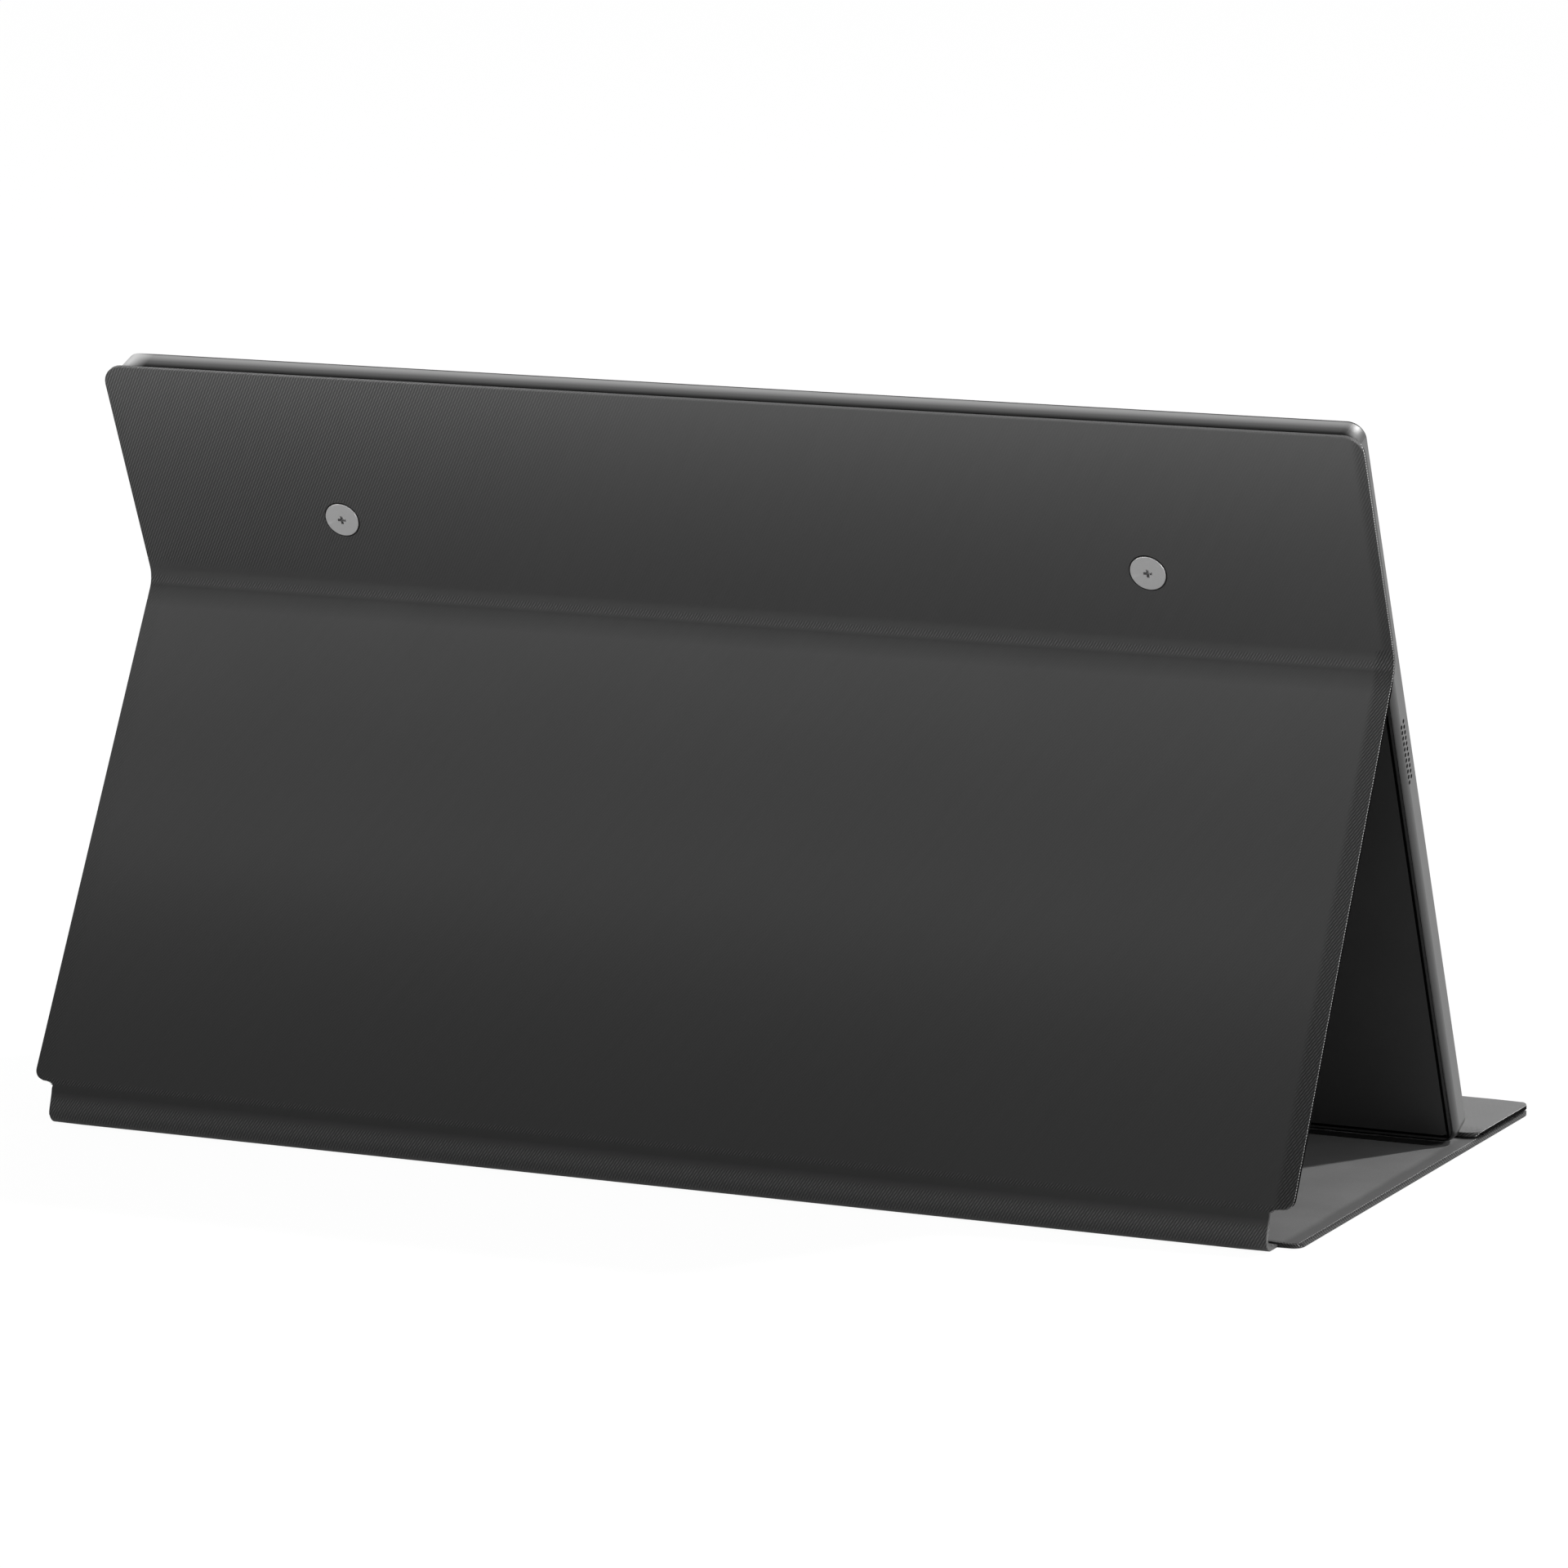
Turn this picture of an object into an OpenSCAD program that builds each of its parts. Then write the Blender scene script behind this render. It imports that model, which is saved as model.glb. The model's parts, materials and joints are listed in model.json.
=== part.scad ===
// Portable monitor in a folding cover that props it up on a desk.
// X runs across the width, Z is up, and the screen faces -Y.

/* [Stand] */
// How far the cover reaches past each side of the monitor
cover_side = 2.6; // [1:0.1:6]
// How far the cover reaches past the top of the monitor
cover_top = 0.5; // [0.3:0.1:5]
// Thickness of each cover panel
cover_t = 1.5; // [1.3:0.1:2.4]
// Length of the prop panel
prop_len = 144.2; // [110:0.1:180]
// Height of the spine above the floor
spine_h = 10.5; // [9.5:0.1:18]
// Radius of the bend that turns the spine under onto the floor
spine_bend_r = 3.4; // [3:0.1:6]
// Length of the spine that lies flat on the floor
spine_foot = 2.1; // [1:0.1:6]
// How far the spine stops short of each side
spine_inset = 6; // [3:0.5:12]
// Depth of the base from spine to front fold
base_len = 180.6; // [140:0.1:220]
// Lean of the monitor from upright, degrees
lean = 23.1; // [15:0.1:30]
// Lean of the prop panel from upright, degrees
prop_lean = 27.9; // [20:0.1:35]
// Lean of the spine from upright, degrees
spine_lean = 17; // [10:1:30]
// Corner radius at the top of the cover
cover_r = 5.6; // [3:0.1:10]
// Corner radius in plan at the front fold
front_r = 5.6; // [3:0.1:10]
// Corner radius of the other panel corners
panel_r = 3; // [2:0.5:6]

/* [Cover layers] */
// Thickness of the woven outer fabric
twill_t = 0.45; // [0.3:0.05:0.8]
// Thickness of the smooth lining
liner_t = 0.35; // [0.2:0.05:0.6]
// Width of the fabric hem around each board
hem = 1.2; // [0.8:0.1:3]
// Half width of the soft band at the crease
crease_band = 6; // [4:0.5:9]
// Length of soft fabric between the prop's lower edge and the heel
heel_gap = 1.0; // [1:0.1:3]
// Length of soft fabric on the spine's side of a fold
lower_band = 2.5; // [2:0.5:5]
// Thickness of the fabric where it folds
band_t = 0.9; // [0.6:0.1:1.3]
// Air between the folded flap and the base
flap_air = 0.15; // [0.1:0.05:0.5]
// Diameter of the opening around each cover screw
screw_hole = 10.4; // [8:0.1:14]

/* [Monitor] */
// Thickness of the monitor
monitor_t = 8.5; // [7.5:0.1:12]
// Corner radius of the housing
housing_r = 4.6; // [4:0.1:10]
// Depth of the rounding along the back edge
round_deep = 2.5; // [1.5:0.1:3.5]
// Width of the rounding along the back edge
round_wide = 1.2; // [0.8:0.1:2]
// Chamfer along the front edge
front_edge = 1.0; // [0.5:0.1:1.5]
// Wall of the housing rim
wall = 1.5; // [1.2:0.1:2.5]
// Thickness of the back plate
plate_t = 0.8; // [0.6:0.1:1.2]
// Distance of the plate's groove from its edge
groove_in = 0.75; // [0.5:0.05:2]
// Width of the groove round the back plate
groove_w = 0.6; // [0.3:0.1:1]
// Depth of the groove round the back plate
groove_deep = 0.35; // [0.2:0.05:0.45]
// Thickness of the front glass
glass_t = 0.8; // [0.5:0.1:1.2]

/* [Screen] */
// Width of the lit area
screen_w = 344.2; // [220:0.1:400]
// Height of the lit area
screen_h = 193.6; // [124:0.1:230]
// Border beside the lit area, out to the edge of the monitor
side_border = 5.3; // [5:0.1:12]
// Border above the lit area
top_border = 5.6; // [5:0.1:12]
// Border below the lit area
foot_border = 15.2; // [14:0.1:24]
// Thickness of the display cell
cell_t = 0.9; // [0.6:0.1:1.4]
// Thickness of the diffuser films
film_t = 0.3; // [0.2:0.1:0.6]
// Thickness of the light guide
guide_t = 0.6; // [0.4:0.1:1]
// Thickness of the steel chassis sheet
chassis_t = 0.4; // [0.3:0.1:0.8]

/* [Electronics] */
// Size of the main board up and down
board_h = 78; // [70:1:110]
// Size of the main board across
board_w = 48; // [36:1:80]
// Thickness of the boards
board_t = 0.8; // [0.6:0.1:1.2]
// Depth of the main board from the back
board_deep = 3.1; // [2.8:0.1:3.6]
// Height of the headphone socket above the monitor's foot
jack_y = 30; // [24:1:36]
// Height of the lower USB socket
usb_low_y = 46; // [42:1:50]
// Height of the upper USB socket
usb_high_y = 62; // [58:1:66]
// Height of the video socket
video_y = 80; // [76:1:84]
// Radius of the headphone plug bore
jack_bore = 1.8; // [1.75:0.05:2]

/* [Sound and buttons] */
// Height of the speaker grilles above the monitor's foot
speaker_y = 119.9; // [110:0.1:130]
// Length of each speaker box
speaker_len = 34; // [26:1:40]
// Width of each speaker box
speaker_w = 15; // [12:0.5:20]
// Length of the button board
key_board = 36; // [30:1:44]
// Holes in each grille row
grille_n = 11; // [5:1:15]
// Spacing of the grille holes
grille_pitch = 1.65; // [1.4:0.02:2.2]
// Diameter of the grille holes
grille_d = 1.15; // [0.6:0.05:1.3]
// Spacing of the two grille rows
grille_rows = 1.7; // [1.4:0.1:2.4]
// Height of the power button
power_y = 150; // [145:1:156]
// Height of the menu rocker
menu_y = 168; // [164:1:176]
// Travel of the power button
press = 0.4; // [0.2:0.1:0.8]

/* [Screws] */
// Distance between the two cover screws
screw_gap = 232.4; // [150:0.1:280]
// Height of the cover screws above the crease
screw_up = 22.3; // [16:0.1:45]
// Diameter of the screw discs
disc_d = 9.8; // [8:0.1:13]
// Diameter of the screw threads
thread_d = 4; // [3:0.5:5]

/* [Hidden] */
$fn = 48;
fit = 0.1;          // clearance between pieces that lie against each other
back_gap = 0.1;     // between the cover and the back plate
rest_gap = 0.05;    // under the monitor's foot
grip_t = 0.3;       // how far the grip strip stands above the lining
fold_r = 0.3;       // panel corners beside a fold
board_core = cover_t - twill_t - liner_t;
monitor_w = screen_w + 2 * side_border;
monitor_h = foot_border + screen_h + top_border;
cover_w = monitor_w + 2 * cover_side;

// side view of the stand
spine_y = base_len / 2;
front_y = -base_len / 2;
strip_len = (spine_h - spine_bend_r * (1 + sin(spine_lean))) / cos(spine_lean);
heel_y = spine_y - spine_bend_r * (1 - cos(spine_lean)) - strip_len * sin(spine_lean);
crease_y = heel_y - prop_len * sin(prop_lean);
crease_z = spine_h + prop_len * cos(prop_lean);
rest_z = cover_t + grip_t + rest_gap;

// the monitor's foot: the rounded back edge meets the grip strip
foot_drop = sqrt(pow(round_wide * cos(lean), 2) + pow(round_deep * sin(lean), 2));
foot = (rest_z - crease_z + foot_drop - (cover_t + back_gap + round_deep) * sin(lean))
     / cos(lean) - round_wide;
head = foot + monitor_h;
screen_foot = foot + foot_border;
upper_len = head + cover_top;
middle = foot + monitor_h / 2;
foot_front_y = crease_y + (foot + front_edge) * sin(lean)
             - (cover_t + back_gap + monitor_t) * cos(lean);
foot_low_y = crease_y + (foot + round_wide) * sin(lean)
           - (cover_t + back_gap + round_deep) * cos(lean)
           + sin(lean) * cos(lean) * (round_deep * round_deep - round_wide * round_wide) / foot_drop;
flap_top = 2 * cover_t + flap_air;
fold_z = flap_top / 2;
fold_y = front_y + fold_z;
flap_rear = foot_front_y - 0.5;

// depths inside the monitor, measured from its back
glass_z = monitor_t - 0.1 - glass_t;
cell_z = glass_z - cell_t;
film_z = cell_z - film_t;
guide_z = film_z - guide_t;
chassis_z = guide_z - 0.1 - chassis_t;
ledge = 1.9;
side_x = monitor_w / 2;
inner_x = side_x - wall;
port_z = board_deep + board_t / 2 + 0.1;
jack_r = jack_bore + 0.35;
jack_z = plate_t + 0.05 + jack_r;
board_x = inner_x - 3 - board_w;
board_y = foot + 22;
sound_z = plate_t + 2.85;

// places ------------------------------------------------------------------

// flat frames: x across, y up the panel from the crease, z inwards from the outside
module in_upper() {
    translate([0, crease_y, crease_z]) rotate([90 - lean, 0, 0]) children();
}
module in_prop() {
    translate([0, crease_y, crease_z]) rotate([90 + prop_lean, 0, 0]) children();
}
module in_monitor() {
    in_upper() translate([0, 0, cover_t + back_gap]) children();
}
module in_flap() {
    translate([0, 0, flap_top]) rotate([0, 180, 0]) children();
}

// shared shapes -----------------------------------------------------------

function arc(cx, cy, r, from, n = 6) =
    [for (i = [0 : n]) [cx + r * cos(from + 90 * i / n), cy + r * sin(from + 90 * i / n)]];

// outline of a panel w wide between heights lo and hi, with its corner radii
module outline(w, lo, hi, r_lo, r_hi) {
    polygon(concat(
        arc(w / 2 - r_hi, hi - r_hi, r_hi, 0), arc(-w / 2 + r_hi, hi - r_hi, r_hi, 90),
        arc(-w / 2 + r_lo, lo + r_lo, r_lo, 180), arc(w / 2 - r_lo, lo + r_lo, r_lo, 270)));
}

// the corner of whatever lies inside the hem of a corner of radius r
function in_r(r) = max(r - 0.8, 0.1);

module slab(z, t) {
    translate([0, 0, z]) linear_extrude(t) children();
}

module box(x, y, z, size) {
    translate([x, y, z]) cube(size);
}

// the three layers of a cover panel: woven tray, stiff board, lining
module twill_tray(lo, hi, r_lo, r_hi) {
    difference() {
        slab(0, cover_t) outline(cover_w, lo, hi, r_lo, r_hi);
        slab(twill_t, cover_t) outline(cover_w - 2 * hem, lo + hem, hi - hem, in_r(r_lo), in_r(r_hi));
    }
}
module core(lo, hi, r_lo, r_hi) {
    slab(twill_t, board_core)
        outline(cover_w - 2 * hem, lo + hem, hi - hem, in_r(r_lo), in_r(r_hi));
}
module lining(lo, hi, r_lo, r_hi) {
    slab(cover_t - liner_t, liner_t)
        outline(cover_w - 2 * hem, lo + hem, hi - hem, in_r(r_lo), in_r(r_hi));
}

module at_screws() {
    for (s = [-1, 1]) translate([s * screw_gap / 2, screw_up, 0]) children();
}

// monitor housing ---------------------------------------------------------

// cross-section of the rim: inwards from the outer edge, and depth from the back
function rim_section() = concat(
    [for (i = [0 : 6]) [round_wide * (1 - sin(15 * i)), 0.05 + round_deep * (1 - cos(15 * i))]],
    [[0, monitor_t - 1.2], [front_edge, monitor_t], [front_edge + 0.6, monitor_t],
     [front_edge + 0.6, glass_z], [wall + ledge, glass_z], [wall + ledge, glass_z - 0.6],
     [wall, glass_z - 0.6], [wall, plate_t + 0.8], [wall + ledge, plate_t + 0.8],
     [wall + ledge, plate_t + 0.1], [round_wide, plate_t + 0.1]]);

module rim_side(reach, length) {
    rotate([90, 0, 0]) translate([0, 0, -length / 2]) linear_extrude(length)
        polygon([for (p = rim_section()) [reach - p[0], p[1]]]);
}
module rim_corner() {
    rotate_extrude(angle = 90)
        polygon([for (p = rim_section()) [housing_r - p[0], p[1]]]);
}
module rim_ring() {
    cx = side_x - housing_r;
    cy = monitor_h / 2 - housing_r;
    for (a = [0, 180]) rotate([0, 0, a]) {
        rim_side(side_x, 2 * cy);
        rotate([0, 0, 90]) rim_side(monitor_h / 2, 2 * cx);
        translate([cx, cy, 0]) rim_corner();
        translate([-cx, cy, 0]) rotate([0, 0, 90]) rim_corner();
    }
}
module grille() {
    for (row = [0, 1], i = [0 : grille_n - 1])
        translate([inner_x - 1, foot + speaker_y + (i - (grille_n - 1) / 2 + row * 0.5 - 0.25) * grille_pitch,
                   sound_z + (row - 0.5) * grille_rows])
            rotate([0, 90, 0]) cylinder(d = grille_d, h = wall + 2, $fn = 20);
}
// a slot through the right-hand wall
module wall_slot(y, z, long, tall) {
    r = tall / 2;
    translate([inner_x - 1, y, z]) {
        box(0, -(long - tall) / 2, -r, [wall + 2, long - tall, tall]);
        for (s = [-1, 1]) translate([0, s * (long - tall) / 2, 0])
            rotate([0, 90, 0]) cylinder(r = r, h = wall + 2);
    }
}

module housing_rim() color("silver") in_monitor() difference() {
    translate([0, middle, 0]) rim_ring();
    grille();
    mirror([1, 0, 0]) grille();
    wall_slot(foot + usb_low_y, port_z, 9.2, 3.4);
    wall_slot(foot + usb_high_y, port_z, 9.2, 3.4);
    box(inner_x - 1, foot + video_y - 5.8, port_z - 1.75, [wall + 2, 11.6, 3.5]);
    translate([inner_x - ledge - 1, foot + jack_y, jack_z]) rotate([0, 90, 0])
        cylinder(r = jack_r + fit, h = wall + ledge + 2);
    for (s = [-1, 1]) box(s > 0 ? inner_x - ledge - 1 : -inner_x - 0.01, foot + speaker_y - 17.2,
        plate_t + 0.09, [ledge + 1.01, 34.4, 1.2]);
    wall_slot(foot + power_y, sound_z, 7.4, 2.8);
    wall_slot(foot + menu_y, sound_z, 11.4, 2.8);
}

module plate_outline(in) {
    inset = round_wide + 0.2 + in;
    r = max(housing_r - inset, 0.5);
    outline(monitor_w - 2 * inset, foot + inset, head - inset, r, r);
}
module back_plate() color("#1d1d1d") in_monitor() difference() {
    slab(0, plate_t) plate_outline(0);
    at_screws() translate([0, 0, -1]) cylinder(d = thread_d + 0.6, h = 3);
    slab(-1, 1 + groove_deep) difference() {
        plate_outline(groove_in);
        plate_outline(groove_in + groove_w);
    }
}

module front_glass() color("#101214") in_monitor()
    slab(glass_z, glass_t) {
        inset = front_edge + 0.6 + fit;
        outline(monitor_w - 2 * inset, foot + inset, head - inset, 3, 3);
    }

// the display stack -------------------------------------------------------

module stack_area(grow) {
    outline(screen_w + 2 * grow, screen_foot - grow, head - top_border + grow, 0.5, 0.5);
}
module display_cell() color("#15181c") in_monitor() slab(cell_z, cell_t - 0.02) stack_area(1.2);
module diffuser_films() color("white") in_monitor() slab(film_z, film_t - 0.02) stack_area(0.8);
module light_guide() color("#dfe8ee") in_monitor() slab(guide_z, guide_t - 0.02) stack_area(0.8);

module led_bar() color("#f4f0dc") in_monitor() {
    y = screen_foot - 3.6;
    n = 24;
    box(-screen_w / 2, y, guide_z - 0.08, [screen_w, 1.5, guide_t]);
    for (i = [0 : n - 1])
        box(-screen_w / 2 + (i + 0.5) * screen_w / n - 1.5, y + 1.5, guide_z, [3, 1.2, guide_t - 0.1]);
}

// sheet behind the light guide, with a lip around it and windows to save weight
module chassis_sheet() color("#8d9196") in_monitor() {
    lip = inner_x - screen_w / 2 - 2.2;
    difference() {
        slab(chassis_z, chassis_t)
            outline(2 * (inner_x - fit), foot + wall + fit, head - wall - fit,
                    housing_r - wall, housing_r - wall);
        for (s = [-1, 1]) translate([s * screw_gap / 2, screw_up, chassis_z - 1])
            cylinder(d = 9, h = 3);
        for (x = flex_places) box(x - flex_w / 2 - 0.4, foot, chassis_z - 1, [flex_w + 0.8, 3, 3]);
    }
    for (s = [-1, 1])
        box(s > 0 ? inner_x - 1.4 : -inner_x + 0.5, foot + 12, chassis_z + chassis_t - 0.02,
            [0.9, monitor_h - 24, 1.2]);
}

// narrow board along the lower edge, with the cable's socket at its right end
driver_x = -0.38 * screen_w;
module driver_board() color("#1f5f3a") in_monitor() {
    z = chassis_z - 0.75;
    box(driver_x, foot + 4, z, [board_x + 24 - driver_x, 6, 0.7]);
    for (i = [-1.5 : 1.5]) box(0.17 * screen_w * i - 3, foot + 5, z - 0.9, [6, 3, 0.9]);
    box(board_x + 8, foot + 4.6, z - 1, [14, 3.6, 1]);
}

// films that carry the driver signals round the sheet's lower edge to the cell
flex_w = 0.07 * screen_w;
flex_places = [for (i = [-2.5 : 2.5]) 0.12 * screen_w * i];
module driver_flex() color("#c98a3c") in_monitor() {
    cell_foot = screen_foot - 1.2;
    for (x = flex_places) translate([x - flex_w / 2, 0, 0]) rotate([90, 0, 90]) linear_extrude(flex_w)
        polygon([[foot + 2.3, chassis_z - 0.45], [foot + 4, chassis_z - 0.45],
                 [foot + 4, chassis_z - 0.6], [foot + 2.2, chassis_z - 0.6],
                 [foot + 2, chassis_z - 0.4], [foot + 2, cell_z - 0.1],
                 [foot + 2.3, cell_z + 0.2], [cell_foot, cell_z + 0.2],
                 [cell_foot, cell_z + 0.08], [foot + 2.4, cell_z + 0.08], [foot + 2.15, cell_z - 0.15]]);
}

// electronics -------------------------------------------------------------

module main_board() color("#14512f") in_monitor() difference() {
    box(board_x, board_y, board_deep, [board_w, board_h, board_t]);
    for (y = [usb_low_y, usb_high_y])
        box(board_x + board_w - 4.7, foot + y - 4.7, board_deep - 1, [6, 9.4, 3]);
    box(board_x + board_w - 4.7, foot + video_y - 5.9, board_deep - 1, [6, 11.8, 3]);
    box(board_x + board_w - 11.7, foot + jack_y - 3.2, board_deep - 1, [13, 6.4, 3]);
    at_board_corners() translate([0, 0, board_deep - 1]) cylinder(d = 2.2, h = 3, $fn = 24);
}
module board_chips() color("#26282b") in_monitor() {
    for (c = [[0.2, 0.43, 14, 14, 1], [0.22, 0.68, 8, 6, 0.9], [0.2, 0.18, 6, 8, 0.9], [0.46, 0.15, 5, 5, 1]])
        box(board_x + c[0] * board_w, board_y + c[1] * board_h, board_deep - c[4], [c[2], c[3], c[4]]);
    for (i = [0 : 3]) box(board_x + 0.6 * board_w, board_y + 0.43 * board_h + 4 * i, board_deep - 0.6,
        [2, 1.2, 0.6]);
}
module chip_shield() color("#b9bcc0") in_monitor() difference() {
    x = board_x + 0.2 * board_w - 2;
    y = board_y + 0.43 * board_h - 2;
    box(x, y, plate_t + 1.05, [18, 18, board_deep - plate_t - 1.05]);
    box(x + 0.3, y + 0.3, plate_t + 1.25, [17.4, 17.4, 4]);
}
module screen_cable() color("#d8a860") in_monitor() {
    z = chassis_z - 0.9;
    box(board_x + 9, foot + 8.2, z, [12, board_y - foot + 6, 0.12]);
    box(board_x + 10, board_y + 9, board_deep + board_t, [10, 5, z - board_deep - board_t]);
}

module socket(y, z, long, tall, deep) {
    translate([side_x - 0.5 - deep, foot + y, z]) children();
}
module usb_port(y) in_monitor() socket(y, port_z, 8.9, 3.1, 7.3) {
    difference() {
        union() {
            box(0, -2.9, -1.55, [7.3, 5.8, 3.1]);
            for (s = [-1, 1]) translate([0, s * 2.9, 0]) rotate([0, 90, 0]) cylinder(r = 1.55, h = 7.3);
        }
        box(1, -2.9, -1.25, [7, 5.8, 2.5]);
        for (s = [-1, 1]) translate([1, s * 2.9, 0]) rotate([0, 90, 0]) cylinder(r = 1.25, h = 7);
    }
    box(0.9, -3.3, -0.35, [5.6, 6.6, 0.7]);
}
module usb_port_low() color("#9fa3a8") usb_port(usb_low_y);
module usb_port_high() color("#9fa3a8") usb_port(usb_high_y);
module video_port() color("#8f9397") in_monitor() socket(video_y, port_z, 11.2, 3.2, 7.4) {
    difference() {
        box(0, -5.6, -1.6, [7.4, 11.2, 3.2]);
        box(1, -5.25, -1.25, [7, 10.5, 2.5]);
    }
    box(0.9, -4.1, 0.2, [5, 8.2, 0.6]);
}
module headphone_jack() color("#222426") in_monitor() socket(jack_y, jack_z, 5, 5, 13) {
    difference() {
        union() {
            box(0, -3, -jack_r, [9.8, 6, 2 * jack_r]);
            rotate([0, 90, 0]) cylinder(r = jack_r, h = 13);
        }
        translate([1, 0, 0]) rotate([0, 90, 0]) cylinder(r = jack_bore, h = 13);
    }
}

// sealed speaker box that fires through the grille in the side wall
module speaker() {
    half = speaker_len / 2;
    shell = 0.4;
    rear = inner_x - 0.1 - speaker_w;
    difference() {
        box(rear, foot + speaker_y - half, plate_t + 0.1, [speaker_w, speaker_len, 4.2]);
        box(rear + 1, foot + speaker_y - half + 1, plate_t + 0.1 + shell,
            [speaker_w + 1, speaker_len - 2, 4.2 - 2 * shell]);
    }
    box(inner_x - 4.6, foot + speaker_y - half + 3, plate_t + 0.1 + shell, [1.2, speaker_len - 6, 4.2 - 2 * shell]);
    box(inner_x - 9.6, foot + speaker_y - half / 2, plate_t + 0.1 + shell, [5, half, 4.2 - 2 * shell]);
}
module speaker_right() color("#1b1c1e") in_monitor() speaker();
module speaker_left() color("#1b1c1e") in_monitor() mirror([1, 0, 0]) speaker();
module speaker_wires() color("#a02820") in_monitor() {
    wire = 0.5;
    flat = 0.2;
    z = chassis_z - flat;
    low = foot + speaker_y + 15;
    for (i = [0, 1]) {
        out = inner_x - 6 - 0.8 * i;
        in = out - wire;
        top = foot + speaker_y + 20.5 + 0.8 * i;
        slab(z, flat) polygon([[-out, low], [-out, top], [out, top], [out, low],
            [in, low], [in, top - wire], [-in, top - wire], [-in, low]]);
        y = board_y + board_h - 3;
        box(board_x + 10 + 0.8 * i, y, z, [wire, top - wire / 2 - y, flat]);
    }
    box(board_x + 9.5, board_y + board_h - 4, board_deep + board_t,
        [2.4, 3, z + flat / 2 - board_deep - board_t]);
}

// the buttons on the right-hand side
module button_board() color("#14512f") in_monitor() {
    box(inner_x - 4.2, foot + power_y - 8, plate_t + 1, [0.8, key_board, 3.4]);
    box(inner_x - 3.4, foot + power_y - 1.6, sound_z - 1.2, [1.2, 3.2, 2.4]);
    for (s = [-1, 1]) box(inner_x - 3.4, foot + menu_y + s * 4 - 1, sound_z - 1.1, [2.2, 2, 2.2]);
}
module pill(long, tall, deep) {
    box(0, -(long - tall) / 2, -tall / 2, [deep, long - tall, tall]);
    for (s = [-1, 1]) translate([0, s * (long - tall) / 2, 0])
        rotate([0, 90, 0]) cylinder(d = tall, h = deep);
}
module power_button() color("#c9ccd0") in_monitor() translate([0, foot + power_y, sound_z]) {
    translate([inner_x - 1.2, 0, 0]) pill(7, 2.4, wall + 1.2 + 0.5);
    box(inner_x - 1.2, -4.4, -1.2, [0.8, 8.8, 2.4]);
    box(inner_x - 1.7, -0.7, -0.7, [0.5, 1.4, 1.4]);
}
module menu_rocker() color("#c9ccd0") in_monitor() translate([0, foot + menu_y, sound_z]) {
    translate([inner_x - 0.9, 0, 0]) pill(10.8, 2.4, wall + 0.9 + 0.4);
    translate([inner_x - 0.9, 0, -1.2]) cylinder(r = 0.8, h = 2.4, $fn = 24);
    box(inner_x - 1.7, -0.4, -1.2, [0.8, 0.8, 2.4]);
}

// screws ------------------------------------------------------------------

module screw_inserts() color("#b5893a") in_monitor() at_screws() difference() {
    union() {
        translate([0, 0, plate_t]) cylinder(d = 11, h = 0.8);
        translate([0, 0, plate_t + 0.8]) cylinder(d = 6.4, h = 2.6);
    }
    translate([0, 0, plate_t - 1]) cylinder(d = thread_d + 0.02, h = 6);
}
module plate_posts() color("#b5893a") in_monitor() {
    step = 0.28 * monitor_w;
    rise = 0.39 * monitor_h;
    for (i = [-1.5 : 0.5], j = [-1 : 1]) translate([i * step, middle + j * rise, plate_t])
        cylinder(d = 5, h = chassis_z - plate_t, $fn = 30);
    translate([1.5 * step, middle + rise, plate_t]) cylinder(d = 5, h = chassis_z - plate_t, $fn = 30);
}
module at_board_corners() {
    for (y = [4, board_h - 4]) translate([board_x + 4, board_y + y, 0]) children();
}
module board_posts() color("#b5893a") in_monitor() at_board_corners() difference() {
    translate([0, 0, plate_t]) cylinder(d = 4.4, h = board_deep - plate_t, $fn = 30);
    translate([0, 0, plate_t + 0.6]) cylinder(d = 2.02, h = 5, $fn = 24);
}
module board_screws() color("#c4c6c8") in_monitor() at_board_corners() {
    translate([0, 0, plate_t + 0.9]) cylinder(d = 2, h = board_deep + board_t - plate_t - 0.9, $fn = 24);
    translate([0, 0, board_deep + board_t]) cylinder(d = 3.6, h = 0.7, $fn = 24);
}

// flat disc screw: chamfered disc on the lining, thread down into the insert
module cover_screw() {
    deep = cover_t - liner_t;
    translate([0, 0, -0.2]) cylinder(d1 = disc_d - 0.8, d2 = disc_d, h = 0.4);
    translate([0, 0, 0.2]) cylinder(d = disc_d, h = deep - 0.2);
    translate([0, 0, deep]) cylinder(d = thread_d, h = liner_t + back_gap + plate_t + 3.2);
}
module cover_screw_right() color("#a8abad") in_upper()
    translate([screw_gap / 2, screw_up, 0]) cover_screw();
module cover_screw_left() color("#a8abad") in_upper()
    translate([-screw_gap / 2, screw_up, 0]) cover_screw();

// cover -------------------------------------------------------------------

module upper_twill() color("#4a4a4a") in_upper() difference() {
    twill_tray(crease_band, upper_len, fold_r, cover_r);
    at_screws() translate([0, 0, -1]) cylinder(d = screw_hole, h = 4);
}
module upper_board() color("#6b5f4c") in_upper() difference() {
    core(crease_band, upper_len, fold_r, cover_r);
    at_screws() translate([0, 0, -1]) cylinder(d = screw_hole, h = 4);
}
module upper_liner() color("#3a3a3b") in_upper() difference() {
    lining(crease_band, upper_len, fold_r, cover_r);
    at_screws() translate([0, 0, -1]) cylinder(d = thread_d + 0.4, h = 4);
}

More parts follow.
